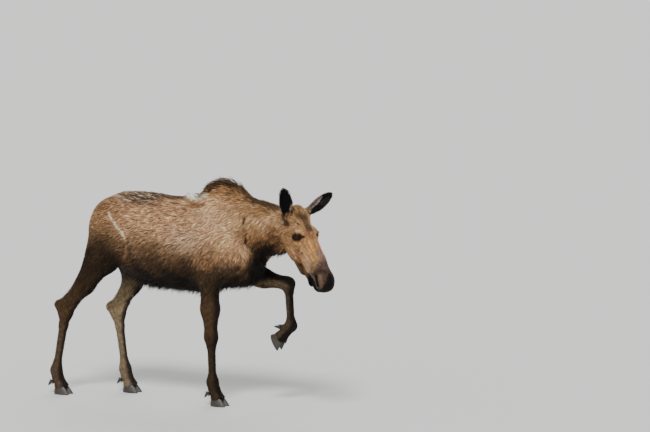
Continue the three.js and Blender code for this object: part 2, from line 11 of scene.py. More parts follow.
import bmesh
import bpy
import numpy as np
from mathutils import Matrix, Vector


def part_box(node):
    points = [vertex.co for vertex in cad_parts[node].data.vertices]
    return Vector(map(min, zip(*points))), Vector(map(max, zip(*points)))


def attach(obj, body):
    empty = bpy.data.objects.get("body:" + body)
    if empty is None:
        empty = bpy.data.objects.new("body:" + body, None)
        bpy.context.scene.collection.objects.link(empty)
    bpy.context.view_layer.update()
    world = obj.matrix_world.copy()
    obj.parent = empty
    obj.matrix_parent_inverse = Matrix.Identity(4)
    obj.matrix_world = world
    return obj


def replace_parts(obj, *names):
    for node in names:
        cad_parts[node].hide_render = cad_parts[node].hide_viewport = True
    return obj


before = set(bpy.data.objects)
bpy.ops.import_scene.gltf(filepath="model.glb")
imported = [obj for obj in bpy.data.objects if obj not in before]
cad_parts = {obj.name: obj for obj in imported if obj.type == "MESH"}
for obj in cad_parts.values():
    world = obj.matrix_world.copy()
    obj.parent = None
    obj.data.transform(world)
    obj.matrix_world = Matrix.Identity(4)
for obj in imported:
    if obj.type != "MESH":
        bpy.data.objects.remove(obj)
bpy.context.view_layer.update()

# ------------------------------------------------------------------------------------------------
# Driving dimensions of the body, in millimetres and degrees
# ------------------------------------------------------------------------------------------------

BACK_TOP = 1600
CHEST_BOTTOM = 878
CHEST_HALF_WIDTH = 238
BELLY_BOTTOM = 890
BELLY_HALF_WIDTH = 278
HUMP_TOP = 1757
RUMP_END = -1065

HEAD = {"poll": (765, -128, 1592), "pitch": 56.5, "turn": 18, "length": 665}

LEGS = {
    "right_fore": {
        "side": -1,
        "shoulder": (205, -172, 1185),
        "elbow": (2, -168, 985),
        "knee": (4, -140, 525),
        "sole": (56, -106, 0),
    },
    "left_fore": {
        "side": 1,
        "shoulder": (240, 165, 1190),
        "elbow": (80, 165, 1005),
        "knee": (518, 160, 946),
        "fetlock": (541, 158, 622),
        "foot_pitch": -62,
    },
    "right_hind": {
        "side": -1,
        "hip": (-860, -120, 1400),
        "stifle": (-935, -178, 1055),
        "hock": (-1258, -150, 636),
        "sole": (-1284, -145, 0),
    },
    "left_hind": {
        "side": 1,
        "hip": (-870, 120, 1390),
        "stifle": (-750, 178, 1035),
        "hock": (-960, 158, 606),
        "sole": (-850, 172, 0),
    },
}

FOOT = {
    "fetlock": (-58, 0, 182),
    "coronet": (-14, 0, 56),
    "coronet_slope": 0.4,
    "sole_length": 130,
    "toe_width": 54,
    "toe_spread": 31,
    "toe_turn": 5,
    "dewclaw_root": (-84, 27, 104),
    "dewclaw_tip": (-112, 33, 62),
    "dewclaw_width": 32,
}

EAR = {"width": 108, "cup": 38, "wall": 10}
EARS = {  # places in the head's frame
    "ear_left": {"root": (40, 92, -50), "tip": (-50, 330, 70), "opening": (0.5, -0.1, 0.8)},
    "ear_right": {"root": (46, -100, -62), "tip": (-140, -168, 82), "opening": (0.6, -0.5, 0.6)},
}
EYE = {"place": (208, 98, -54), "radius": 21}
TAIL = {"root": (-1045, 0, 1432), "tip": (-1098, 0, 1338), "width": 66}

# ------------------------------------------------------------------------------------------------
# Vectors and shapes. A shape gives a signed distance for each row of places, and inside is negative.
# ------------------------------------------------------------------------------------------------

FAR = 1000.0


def vec(values):
    return np.asarray(values, np.float32)


def norm(v):
    return np.sqrt((v * v).sum(-1))


def unit(v):
    v = vec(v)
    return v / np.maximum(norm(v), 1e-9)[..., None]


def mix(a, b, t):
    return a + (b - a) * t


def ease(low, high, x):
    """0 below low, 1 above high, and smooth between."""
    t = np.clip((x - low) / (high - low), 0, 1)
    return t * t * (3 - 2 * t)


def ellipsoid(centre, radii):
    """A ball with its own radius along each axis."""
    centre, radii = vec(centre), vec(radii)

    def shape(p):
        q = (p - centre) / radii
        near = norm(q)
        return near * (near - 1) / np.maximum(norm(q / radii), 1e-6)

    return shape


def rod(a, b, ra, rb, flat=1.0):
    """A rod with round ends. flat is its thickness across over its thickness seen from the side."""
    a, b = vec(a), vec(b)
    span = b - a
    squeeze = vec((1, 1 / flat, 1))

    def shape(p):
        t = np.clip((p - a) @ span / (span @ span), 0, 1)
        q = (p - a - t[:, None] * span) * squeeze
        return (norm(q) - mix(ra, rb, t)) * min(1.0, flat)

    return shape


def blend(k, a, b):
    """The nearer of two distances, run into each other over k mm."""
    h = np.maximum(k - np.abs(a - b), 0) / k
    return np.minimum(a, b) - h * h * (k / 4)


def carved(k, a, b):
    """What is in a and not in b."""
    return -blend(k, -a, b)


def union(k, *shapes):
    """Shapes joined, run into each other over k mm."""
    return lambda p: reduce(lambda d, shape: blend(k, d, shape(p)), shapes[1:], shapes[0](p))


def within(box, shape):
    """shape, worked out only inside a box, and far away outside it."""
    low, high = vec(box)

    def bounded(p):
        d = np.full(len(p), FAR, np.float32)
        inside = ((p > low) & (p < high)).all(1)
        d[inside] = shape(p[inside])
        return d

    return bounded


def between(a, b, t):
    """The place a share t of the way from a to b."""
    return mix(vec(a), vec(b), t)


# ------------------------------------------------------------------------------------------------
# The body, out to the tips of its coat
# ------------------------------------------------------------------------------------------------

BACK_RADIUS = 118
BACK_MIDDLE = BACK_TOP - BACK_RADIUS

CHEST_TOP, BELLY_TOP = 1530, 1500

torso_shape = union(
    95,
    ellipsoid(
        (-170, 0, (CHEST_BOTTOM + CHEST_TOP) / 2), (450, CHEST_HALF_WIDTH, (CHEST_TOP - CHEST_BOTTOM) / 2)
    ),
    ellipsoid(
        (-500, 0, (BELLY_BOTTOM + BELLY_TOP) / 2), (400, BELLY_HALF_WIDTH, (BELLY_TOP - BELLY_BOTTOM) / 2)
    ),
    rod((-190, 0, BACK_MIDDLE - 8), (-790, 0, BACK_MIDDLE - 16), BACK_RADIUS, BACK_RADIUS - 6),
    ellipsoid((-650, 0, 1385), (330, 222, 190)),  # hips
    ellipsoid((-850, 0, 1370), (190, 190, 165)),  # pelvis
    ellipsoid((RUMP_END + 105, 0, 1320), (105, 150, 160)),  # rump
    ellipsoid((215, 0, 1120), (165, 150, 175)),  # breast
)
torso = within(((-1350, -450, 640), (560, 450, 1780)), torso_shape)

hump_shape = union(
    60,
    ellipsoid((40, 0, 1450), (240, 135, 215)),
    ellipsoid((70, 0, HUMP_TOP - 205), (226, 92, 205)),
    rod((130, 0, 1575), (350, -12, 1518), 84, 84, 0.62),
)
hump = within(((-400, -350, 1050), (560, 350, 1850)), hump_shape)

neck_shape = union(
    60,
    rod((170, 0, 1345), (470, -25, 1404), 225, 168, 0.68),
    rod((440, -18, 1408), (690, -108, 1432), 166, 136, 0.7),
    rod((330, -5, 1262), (645, -86, 1288), 34, 36, 0.7),  # throat, with its fringe
)
neck = within(((-250, -450, 950), (1050, 350, 1850)), neck_shape)


def shoulder_rods(leg):
    """From the blade to the elbow of a foreleg."""
    side = leg["side"]
    return [
        rod((-10, side * 95, 1500), leg["shoulder"], 95, 112, 0.8),  # shoulder blade
        rod(leg["shoulder"], leg["elbow"], 112, 84, 0.75),  # upper arm
        rod((-60, side * 150, 1220), vec(leg["elbow"]) + (0, 0, 40), 105, 72, 0.7),  # triceps
    ]


shoulders_shape = union(60, *shoulder_rods(LEGS["right_fore"]), *shoulder_rods(LEGS["left_fore"]))
shoulders = within(((-350, -450, 780), (560, 450, 1780)), shoulders_shape)


def thigh(leg):
    """From the hip to the gaskin of a hind leg."""
    side, stifle, hock = leg["side"], leg["stifle"], leg["hock"]
    return union(
        60,
        rod(leg["hip"], stifle, 150, 108, 0.72),
        rod((RUMP_END + 110, side * 95, 1280), between(stifle, hock, 0.4), 108, 74, 0.72),
        rod((-745, side * 160, 1400), vec(stifle) + (95, side * 5, 8), 62, 62, 0.8),
    )


def hock_point(leg):
    """The end of the heel bone, behind the hock."""
    shin = unit(vec(leg["hock"]) - vec(leg["stifle"]))
    rise = 0.22  # the point of the hock lies behind the joint and a little above it
    return vec(leg["hock"]) + 86 * unit((shin[2], 0, rise - shin[0]))


def gaskin(leg):
    stifle, hock, point = leg["stifle"], leg["hock"], hock_point(leg)
    return union(
        42,
        rod(stifle, between(stifle, hock, 0.5), 86, 57, 0.68),
        rod(between(stifle, hock, 0.45), hock, 58, 47, 0.72),
        rod(between(stifle, hock, 0.25), point, 52, 23, 0.62),  # Achilles tendon
        rod(hock, point, 42, 24, 0.66),
    )


def hind_cannon(leg, fetlock):
    hock = leg["hock"]
    return union(
        20,
        rod(hock, between(hock, fetlock, 0.22), 50, 37, 0.72),
        rod(between(hock, fetlock, 0.2), between(hock, fetlock, 0.9), 36, 32, 0.78),
        rod(between(hock, fetlock, 0.88), fetlock, 34, 43, 0.82),
    )


def forearm(leg):
    elbow, knee = leg["elbow"], leg["knee"]
    return union(
        30,
        rod(elbow, between(elbow, knee, 0.5), 81, 76, 0.72),
        rod(between(elbow, knee, 0.5), between(elbow, knee, 0.92), 76, 49, 0.76),
        rod(between(elbow, knee, 0.93), knee, 49, 51, 0.84),
    )


def fore_cannon(leg, fetlock):
    knee = leg["knee"]
    return union(
        20,
        rod(knee, between(knee, fetlock, 0.16), 49, 37, 0.84),
        rod(between(knee, fetlock, 0.15), between(knee, fetlock, 0.9), 35, 32, 0.8),
        rod(between(knee, fetlock, 0.88), fetlock, 34, 42, 0.84),
    )


class Foot:
    """A foot's own frame: forward, left and up from the middle of its sole."""

    def __init__(self, leg):
        pitch = math.radians(leg.get("foot_pitch", 0))
        c, s = math.cos(pitch), math.sin(pitch)
        self.turn = vec(((c, 0, -s), (0, 1, 0), (s, 0, c)))
        if "sole" in leg:
            self.sole = vec(leg["sole"])
        else:
            self.sole = vec(leg["fetlock"]) - self.turn @ vec(FOOT["fetlock"])
        self.fetlock = self.place(FOOT["fetlock"])
        self.coronet = self.place(FOOT["coronet"])

    def place(self, q):
        return self.sole + vec(q) @ self.turn.T


def pastern(foot):
    """From the fetlock into the hoof."""
    return union(
        22,
        rod(foot.fetlock, foot.coronet, 42, 45, 1.05),
        rod(foot.coronet, foot.place((14, 0, 40)), 50, 46, 1.1),
        rod(foot.fetlock, foot.place((-62, 0, 118)), 38, 30, 0.95),  # heel pad
    )


# The head's frame: along the face from the poll to the lips, left, and out of the forehead.
POLL = vec(HEAD["poll"])
PITCH, TURN = math.radians(HEAD["pitch"]), math.radians(HEAD["turn"])
AHEAD = vec((math.cos(TURN), -math.sin(TURN), 0))
FACE = AHEAD * math.cos(PITCH) - vec((0, 0, math.sin(PITCH)))
LEFT = vec((math.sin(TURN), math.cos(TURN), 0))
BROW = AHEAD * math.sin(PITCH) + vec((0, 0, math.cos(PITCH)))
HEAD_AXES = np.stack([FACE, LEFT, BROW])


def head_place(q):
    """From the head's frame to body axes."""
    return POLL + vec(q) @ HEAD_AXES


def in_head(p):
    """From body axes to the head's frame."""
    return (p - POLL) @ HEAD_AXES.T


def head_shape():
    """The head and the ears' roots, in the head's frame."""
    length = HEAD["length"]
    sides = []
    for s in (1, -1):
        sides += [
            ellipsoid((245, s * 54, -165), (135, 44, 95)),  # cheek
            ellipsoid((200, s * 78, -48), (54, 34, 36)),  # brow over the eye
            rod((255, s * 70, -95), (520, s * 46, -95), 48, 54),  # side of the face
            ellipsoid((length - 85, s * 48, -88), (64, 38, 58)),  # nostril swell
            rod((60, s * 72, -62), (22, s * 100, -42), 42, 30),  # ear root
        ]
    return union(
        26,
        ellipsoid((95, 0, -92), (135, 92, 92)),  # skull
        ellipsoid((20, 5, -42), (62, 62, 44)),  # tuft of hair on the poll
        ellipsoid((215, 0, -120), (150, 78, 110)),
        rod((190, 0, -74), (430, 0, -70), 82, 74, 0.95),  # bridge of the nose
        rod((430, 0, -72), (length - 110, 0, -84), 74, 82, 0.88),
        ellipsoid((length - 85, 0, -96), (85, 74, 90)),  # muzzle
        ellipsoid((length - 58, 0, -130), (56, 64, 64)),  # overhanging upper lip
        ellipsoid((length - 53, 0, -68), (74, 60, 64)),  # front of the nose
        rod((190, 0, -232), (420, 0, -220), 55, 46, 0.9),  # lower jaw
        rod((300, 0, -165), (480, 0, -165), 46, 40, 1.1),  # floor of the mouth
        rod((462, 0, -182), (length - 118, 0, -201), 36, 37, 1.12),  # chin
        *sides,
    )


HEAD_SHAPE = head_shape()


class Leg:
    """One leg from its elbow or stifle down, and the thigh of a hind leg."""

    def __init__(self, name):
        leg = LEGS[name]
        self.name = name
        self.side = leg["side"]
        self.foot = Foot(leg)
        self.fore = "knee" in leg
        self.raised = "foot_pitch" in leg
        start, joint = (leg["elbow"], leg["knee"]) if self.fore else (leg["stifle"], leg["hock"])
        upper, cannon = (forearm, fore_cannon) if self.fore else (gaskin, hind_cannon)
        lower = union(24, upper(leg), cannon(leg, self.foot.fetlock), pastern(self.foot))
        self.line = vec([start, joint, self.foot.fetlock, self.foot.sole])
        reach = 330
        self.lower = within((self.line.min(0) - reach, self.line.max(0) + reach), lower)
        self.thigh = None if self.fore else within(((-1400, -420, 700), (-300, 420, 1800)), thigh(leg))


ALL_LEGS = [Leg(name) for name in LEGS]
THIGHS = [leg.thigh for leg in ALL_LEGS if leg.thigh]
HEAD_CENTRE = (320, 0, -90)  # in the head's own frame
HEAD_MIDDLE = head_place(HEAD_CENTRE)
HEAD_REACH = 330
HEAD_BOX = (HEAD_MIDDLE - HEAD_REACH - 90, HEAD_MIDDLE + HEAD_REACH + 90)
head = within(HEAD_BOX, lambda p: HEAD_SHAPE(in_head(p)))


class Stroke:
    """A line through the given places. mask is 1 within the inner radius of it and 0 past the outer one."""

    def __init__(self, places, inner, outer):
        self.places, self.inner, self.outer = vec(places), inner, outer

    def distance(self, p):
        d = np.full(len(p), FAR, np.float32)
        low, high = self.places.min(0) - self.outer, self.places.max(0) + self.outer
        near = ((p > low) & (p < high)).all(1)
        q = p[near]
        for a, b in zip(self.places, self.places[1:]):
            span = b - a
            t = np.clip((q - a) @ span / (span @ span), 0, 1)[:, None]
            d[near] = np.minimum(d[near], norm(q - a - t * span))
        return d

    def mask(self, p):
        return 1 - ease(self.inner, self.outer, self.distance(p))


def line(places, inner, outer):
    """The mask of a line through the given places."""
    return Stroke(places, inner, outer).mask


def patch(centre, radii, softness=0.35):
    """A mask that is 1 inside an ellipsoid and fades to 0 round its edge."""
    centre, radii = vec(centre), vec(radii)
    return lambda p: 1 - ease(1 - softness, 1 + softness, norm((p - centre) / radii))


CREST_LINE = [
    (-150, 0, 1612), (-40, 0, 1690), (70, 0, 1757), (190, 0, 1725), (330, -10, 1640), (480, -45, 1590),
    (640, -100, 1580), (750, -130, 1600),
]
CREST = Stroke(CREST_LINE, 70, 150)
BELLY_LINE = Stroke([(-760, 0, 930), (-450, 0, 880), (-100, 0, 870), (180, 0, 950), (330, 0, 1110)], 60, 190)
THROAT_LINE = Stroke([(330, -5, 1240), (450, -30, 1240), (585, -60, 1250), (665, -94, 1256)], 40, 85)
POLL_TUFT = patch(head_place((10, 5, -15)), (66, 66, 66), 0.6)

# ------------------------------------------------------------------------------------------------
# The skin, inside that outline by the depth of the coat
# ------------------------------------------------------------------------------------------------


class Ear:
    """A pointed leaf, cupped along its length: across it, out of its opening, and along it to the tip."""

    def __init__(self, name):
        pose = EARS[name]
        self.root, self.tip = head_place(pose["root"]), head_place(pose["tip"])
        self.length = float(norm(self.tip - self.root))
        self.along = unit(self.tip - self.root)
        faced = vec(pose["opening"]) @ HEAD_AXES
        self.mouth = unit(faced - self.along * (faced @ self.along))
        self.axes = np.stack([np.cross(self.along, self.mouth), self.mouth, self.along])
        reach = 90
        corners = np.stack([self.root, self.tip])
        self.shape = within((corners.min(0) - reach, corners.max(0) + reach), self.leaf)

    def half_width(self, t):
        """Half of its width, at a share t of its length from its root."""
        oval = np.sqrt(np.maximum(0, 1 - ((t - 0.45) / 0.56) ** 2))
        return np.maximum(EAR["width"] / 2 * oval * mix(0.7, 1, np.minimum(1, t * 2)), 6)

    def hollow(self, p):
        """Places in the ear's own axes, and how far they stand out of the middle of its wall."""
        q = (p - self.root) @ self.axes.T
        t = np.clip(q[:, 2] / self.length, 0, 1)
        half = self.half_width(t)
        s = np.clip(q[:, 0] / half, -1.2, 1.2)
        cup = EAR["cup"] * mix(1, 0.25, t)
        middle = -cup * (1 - s * s) - EAR["wall"] / 2 * (1 - 0.4 * s * s)
        slope = 2 * cup * s / half
        return q, half, (q[:, 1] - middle) / np.sqrt(1 + slope * slope)

    def leaf(self, p):
        """The signed distance from the ear's wall."""
        rim = 4.2  # half of the skin's thickness
        q, half, out = self.hollow(p)
        hairs = 6  # by which the hair stands past the tip
        tapered = self.half_width(np.clip((q[:, 2] + hairs + rim) / self.length, 0.45, 1))
        past_side = np.abs(q[:, 0]) - np.minimum(half, tapered) + rim + 4
        past_end = np.maximum(q[:, 2] - self.length + rim + hairs, -30 - q[:, 2])
        return np.hypot(np.maximum(np.maximum(past_side, past_end), 0), out) - rim

    def bowl(self, p):
        """The open space in front of the wall, low in the ear."""
        q, half, out = self.hollow(p)
        t = q[:, 2] / self.length
        side = (np.abs(q[:, 0]) - 0.62 * half) * 0.8
        ends = np.maximum(0.02 - t, t - 0.6) * self.length
        return np.maximum(np.maximum(side, ends), 5 - out)


ALL_EARS = {name: Ear(name) for name in EARS}
tail = within(
    (vec(TAIL["root"]) - 150, vec(TAIL["tip"]) + 150),
    rod(TAIL["root"], TAIL["tip"], TAIL["width"] / 2 - 9, TAIL["width"] / 3 - 9, 0.8),
)

PARTS = ["torso", "hump", "neck", "shoulders", "thighs", *LEGS, "head"]
SMOOTHING = {"trunk": 60, "limb": 70, "leg": 45, "head": 38}  # mm over which forms run into each other


def distances(p):
    """From each place to each part of the body, and to the outline of them all together."""
    d = {"torso": torso(p), "hump": hump(p), "neck": neck(p), "shoulders": shoulders(p), "head": head(p)}
    whole = blend(SMOOTHING["trunk"], blend(SMOOTHING["trunk"], d["torso"], d["hump"]), d["neck"])
    whole = blend(SMOOTHING["limb"], whole, d["shoulders"])
    d["thighs"] = reduce(np.minimum, [thigh_shape(p) for thigh_shape in THIGHS])
    whole = blend(SMOOTHING["limb"], whole, d["thighs"])
    for leg in ALL_LEGS:
        d[leg.name] = leg.lower(p)
        whole = blend(SMOOTHING["leg"], whole, d[leg.name])
    return d, blend(SMOOTHING["head"], whole, d["head"])


def shares(d):
    """How much a place belongs to each part, one column for each."""
    reach = 26
    weights = np.stack([np.exp(-np.clip(d[name], -80, 400) / reach) for name in PARTS], 1)
    return weights / np.maximum(weights.sum(1, keepdims=True), 1e-9)


def coat_depth(p, d, share):
    """How far the skin lies under the outline."""
    away = np.exp(-np.maximum(np.minimum(d["torso"], d["thighs"]), 0) / 90)
    crest = CREST.mask(p)
    mane = crest * ease(330, 180, p[:, 0])
    depth = {
        "torso": 14 + 9 * BELLY_LINE.mask(p),
        "hump": 14 + 24 * mane,
        "neck": 13 + 3 * crest,
        "shoulders": 15,
        "thighs": 12,
        "head": 3.2 + 11 * POLL_TUFT(p),
    }
    legs = 4 + 8 * away
    return sum(share[:, n] * depth.get(name, legs) for n, name in enumerate(PARTS))


EYE_PLACE = vec(EYE["place"])
EYE_OUT = unit((0.2, 0.95, 0.22))  # where an eye looks, in the head's frame, for the left eye
SLIT = unit(np.cross(EYE_OUT, np.cross((0.55, 0, 0.84), EYE_OUT)))  # along the lids, to the inner corner
LID_UP = np.cross(SLIT, EYE_OUT)
LID_LENGTH, LID_HEIGHT = 21.5, 15  # half of the opening, along the lids and across them
LIP_LINE = [
    (480, 102, -110), (505, 101, -99), (555, 94, -88), (590, 89, -92), (635, 72, -115), (656, 45, -132),
    (664, 0, -140),
]
NOSTRIL = [(552, 86, -60), (572, 88, -65), (592, 87, -73), (622, 79, -88)]
NOSTRIL_FOLD = [(545, 30, -9), (532, 45, -18), (522, 62, -33), (530, 80, -52)]
TEAR = [(222, 100, -36), (230, 84, -24), (238, 70, -18)]
GROOVES = [(TEAR, 5, 2.5), (NOSTRIL, 7, 8.5), (NOSTRIL_FOLD, 6, 2.2), (LIP_LINE, 6, 4)]  # softness, radius
HOLLOWS = [
    (5, (150, 80, -95), (50, 30, 34), 0.5),  # behind the eye
    (4, (330, 86, -60), (80, 20, 18), 0.6),  # before the eye
]


def mirrored(places):
    """Places in the head's frame, brought over to its other side."""
    return vec(places) * vec((1, -1, 1))


def under_lips(q):
    """How far a place is below the line between the lips."""
    along, _, out = zip(*LIP_LINE)
    return np.interp(q[:, 0], along, out) - q[:, 2]


def lids(q, side):
    """The lids round one eye: a shell a little over the ball, and the opening in it."""
    w = (q * vec((1, side, 1)) - EYE_PLACE) @ np.stack([SLIT, LID_UP, EYE_OUT]).T
    shell = norm(w) - EYE["radius"] - 3
    lens = 0.8 * (np.abs(w[:, 1]) - LID_HEIGHT * (1 - (w[:, 0] / LID_LENGTH) ** 2))
    opening = np.maximum(lens, 2 - w[:, 2])
    fold = np.abs(norm(w * vec((1, 1, 0))) - 27) + np.maximum(-w[:, 1], 0)
    crease = np.maximum(fold - 1.6, norm(w) - 31)
    return shell, opening, crease


def face_details(q, d):
    """Lids, nostrils, mouth and hollows cut into the head's skin. q is in the head's frame."""
    for side, turn in ((1, vec), (-1, mirrored)):
        shell, opening, crease = lids(q, side)
        d = blend(9, d, shell)
        d = carved(3, d, opening)
        d = carved(3, d, crease)
        for places, softness, radius in GROOVES:
            d = carved(softness, d, Stroke(turn(places), 0, 60).distance(q) - radius)
        for depth, centre, radii, softness in HOLLOWS:
            d = d + depth * patch(turn(centre), radii, softness)(q)
    return d + 7 * ease(0, 16, under_lips(q)) * ease(470, 520, q[:, 0])


NEAR_HEAD, NEAR_EAR, NEAR_FOOT = 60, 150, 170  # mm that their details reach
IN_HOOF = 7  # mm that the skin goes into the hoof


def skin(p):
    """The signed distance from the skin."""
    d, outline = distances(p)
    found = outline + coat_depth(p, d, shares(d))
    q = in_head(p)
    near = d["head"] < NEAR_HEAD
    found[near] = face_details(q[near], found[near])
    for ear in ALL_EARS.values():
        close = norm(p - ear.root) < NEAR_EAR
        found[close] = carved(18, found[close], ear.bowl(p[close]))
        found = blend(16, found, ear.shape(p))
    found = blend(16, found, tail(p))
    for leg in ALL_LEGS:
        foot = leg.foot
        down = foot.turn @ unit((FOOT["coronet_slope"], 0, -1))
        past = (p - foot.coronet) @ down - IN_HOOF
        close = norm(p - foot.coronet) < NEAR_FOOT
        found[close] = np.maximum(found[close], past[close])
    return found


def in_chunks(function, p, size=40000):
    return np.concatenate([function(p[n : n + size]) for n in range(0, len(p), size)])


def slope_of(p, step):
    """The gradient of the skin's distance at each place."""
    steps = np.eye(3, dtype=np.float32) * step
    return np.stack([in_chunks(skin, p + e) - in_chunks(skin, p - e) for e in steps], 1) / (2 * step)


def settled(p, rounds=3, step=1.5):
    """Places moved onto the skin."""
    for _ in range(rounds):
        slope = slope_of(p, step)
        steepness = np.maximum((slope * slope).sum(1), 0.1)
        move = -in_chunks(skin, p) / steepness
        p = p + slope * np.clip(move, -12, 12)[:, None]
    return p


# ------------------------------------------------------------------------------------------------
# From the skin's distance to a mesh
# ------------------------------------------------------------------------------------------------

EYE_CENTRES = {"eye_left": head_place(EYE_PLACE), "eye_right": head_place(mirrored(EYE_PLACE))}


def as_row(vectors):
    """Directions in body axes turned into the row frame."""
    return np.stack([vectors[..., 1], -vectors[..., 0], vectors[..., 2]], -1)


def eye_shift():
    """The row frame's place for the origin of the body axes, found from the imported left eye."""
    low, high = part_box("eye_left")
    return vec((low + high) / 2) - as_row(EYE_CENTRES["eye_left"]) * 0.001


SHIFT = eye_shift()


def in_row(places):
    """From body axes in mm to the row frame in metres."""
    return as_row(vec(places)) * 0.001 + SHIFT


def grid_axes():
    """Grid lines across the body, closer together at the head."""
    forward = np.concatenate([np.arange(-1420, 560, 13), np.arange(560, 1160, 4.5)])
    left = np.arange(-325, 320, 5)
    up = np.concatenate([np.arange(24, 1000, 12), np.arange(1000, 1830, 5.5)])
    return [vec(a) for a in (forward, left, up)]


def grid_values(axes):
    """The skin's distance on the grid, worked out at every fourth line first and then only near the skin."""
    stride, reach = 4, 60
    coarse = [a[np.minimum(np.arange(0, len(a) + stride, stride), len(a) - 1)] for a in axes]
    spread = np.stack(np.meshgrid(*coarse, indexing="ij"), -1)
    rough = in_chunks(skin, spread.reshape(-1, 3)).reshape(spread.shape[:3])
    close = np.abs(rough)
    for axis in range(3):
        lower = [slice(None)] * 3
        upper = [slice(None)] * 3
        lower[axis], upper[axis] = slice(None, -1), slice(1, None)
        close = np.minimum(close[tuple(lower)], close[tuple(upper)])
    block = np.ix_(*[np.arange(len(a)) // stride for a in axes])
    values = rough[block].copy()
    near = np.argwhere((close < reach)[block])
    places = np.stack([a[n] for a, n in zip(axes, near.T)], 1)
    values[tuple(near.T)] = in_chunks(skin, places)
    return values


def net(values, axes):
    """Quads round the surface where values change sign, with one vertex in each cell that it crosses."""
    inside = values < 0
    count = inside.astype(np.uint8)
    for axis in range(3):
        lower = np.take(count, range(count.shape[axis] - 1), axis)
        count = lower + np.take(count, range(1, count.shape[axis]), axis)
    mixed = (count > 0) & (count < 8)
    cells = np.argwhere(mixed)
    number = np.full(mixed.shape, -1, np.int32)
    number[mixed] = np.arange(len(cells))
    total = np.zeros((len(cells), 3))
    crossings = np.zeros(len(cells))
    unit_steps = np.eye(3, dtype=int)
    for axis in range(3):
        side, other = unit_steps[(axis + 1) % 3], unit_steps[(axis + 2) % 3]
        for offset in (0 * side, side, other, side + other):
            a = cells + offset
            b = a + unit_steps[axis]
            va, vb = values[tuple(a.T)], values[tuple(b.T)]
            crossed = (va < 0) != (vb < 0)
            t = np.where(crossed, va / np.where(crossed, va - vb, 1), 0)
            pa = np.stack([line[n] for line, n in zip(axes, a.T)], 1)
            pb = np.stack([line[n] for line, n in zip(axes, b.T)], 1)
            total += crossed[:, None] * mix(pa, pb, t[:, None])
            crossings += crossed
    quads = []
    for axis in range(3):
        here = np.take(inside, range(inside.shape[axis] - 1), axis)
        there = np.take(inside, range(1, inside.shape[axis]), axis)
        edges = np.argwhere(here != there)
        side, other = unit_steps[(axis + 1) % 3], unit_steps[(axis + 2) % 3]
        ring = [edges, edges - side, edges - side - other, edges - other]
        quad = np.stack([number[tuple(cell.T)] for cell in ring], 1)
        leaving = inside[tuple(edges.T)]
        quad[~leaving] = quad[~leaving][:, ::-1]
        quads.append(quad)
    return vec(total / crossings[:, None]), np.concatenate(quads)


def refined(vertices, quads):
    """The mesh with its faces divided where the face has small forms: round the eyes, nostrils and lips."""
    mesh = bpy.data.meshes.new("moose_skin")
    mesh.from_pydata(vertices.tolist(), [], quads.tolist())
    bm = bmesh.new()
    bm.from_mesh(mesh)
    eye_reach, nose_reach = 44, 30
    for rounds in range(2):
        bm.verts.ensure_lookup_table()
        q = in_head(vec([v.co for v in bm.verts]))
        wanted = np.zeros(len(q), bool)
        for turn in (vec, mirrored):
            wanted |= norm(q - turn(EYE_PLACE)) < eye_reach - 10 * rounds
            if rounds == 0:
                wanted |= Stroke(turn(NOSTRIL), 0, nose_reach).distance(q) < nose_reach
                wanted |= Stroke(turn(LIP_LINE), 0, nose_reach).distance(q) < nose_reach - 12
        edges = [e for e in bm.edges if wanted[e.verts[0].index] and wanted[e.verts[1].index]]
        bmesh.ops.subdivide_edges(bm, edges=edges, cuts=1, use_grid_fill=True)
        bm.verts.index_update()
        bm.verts.ensure_lookup_table()
        co = vec([v.co for v in bm.verts])
        q = in_head(co)
        moved = norm(q - vec(HEAD_CENTRE)) < HEAD_REACH + 130
        co[moved] = settled(co[moved], 2, 0.8)
        for vertex, place in zip(bm.verts, co):
            vertex.co = place
    bmesh.ops.triangulate(bm, faces=[f for f in bm.faces if len(f.verts) > 4])
    bm.to_mesh(mesh)
    bm.free()
    return mesh


def read(items, name, kind, width):
    """A property of many Blender items, a row for each."""
    values = np.empty(len(items) * width, kind)
    items.foreach_get(name, values)
    return values.reshape(-1, width)


def skin_mesh():
    """The skin, with its vertices in body axes."""
    axes = grid_axes()
    vertices, quads = net(grid_values(axes), axes)
    vertices = settled(vertices, 2)
    return refined(vertices, quads)


# ------------------------------------------------------------------------------------------------
# Colours, as seen on a screen in even light
# ------------------------------------------------------------------------------------------------


def shade(red, green, blue):
    """A screen colour, 0 to 255, as the share of light that it reflects, richer to make up for the film."""
    c = np.array((red, green, blue)) / 255
    c = np.where(c > 0.04045, ((c + 0.055) / 1.055) ** 2.4, c / 12.92)
    richer = c.mean() + (c - c.mean()) * 1.12
    return vec(np.maximum(richer, 0.0008) * 1.3 * (c.mean() / 0.25) ** 0.2)


# Black hair; on the breast it also stands for painted shade under the neck.
BLACK_HAIR_AND_SHADE = (16, 12, 9)
WHITE_HAIR = (250, 240, 214)
GREY_WHITE = (200, 184, 160)
CREAM = (186, 168, 150)
SILVER = (186, 160, 134)
SCAR = (246, 212, 176)
RUST = (116, 80, 50)
MANE = (54, 36, 19)
LIP_EDGE = (110, 96, 94)
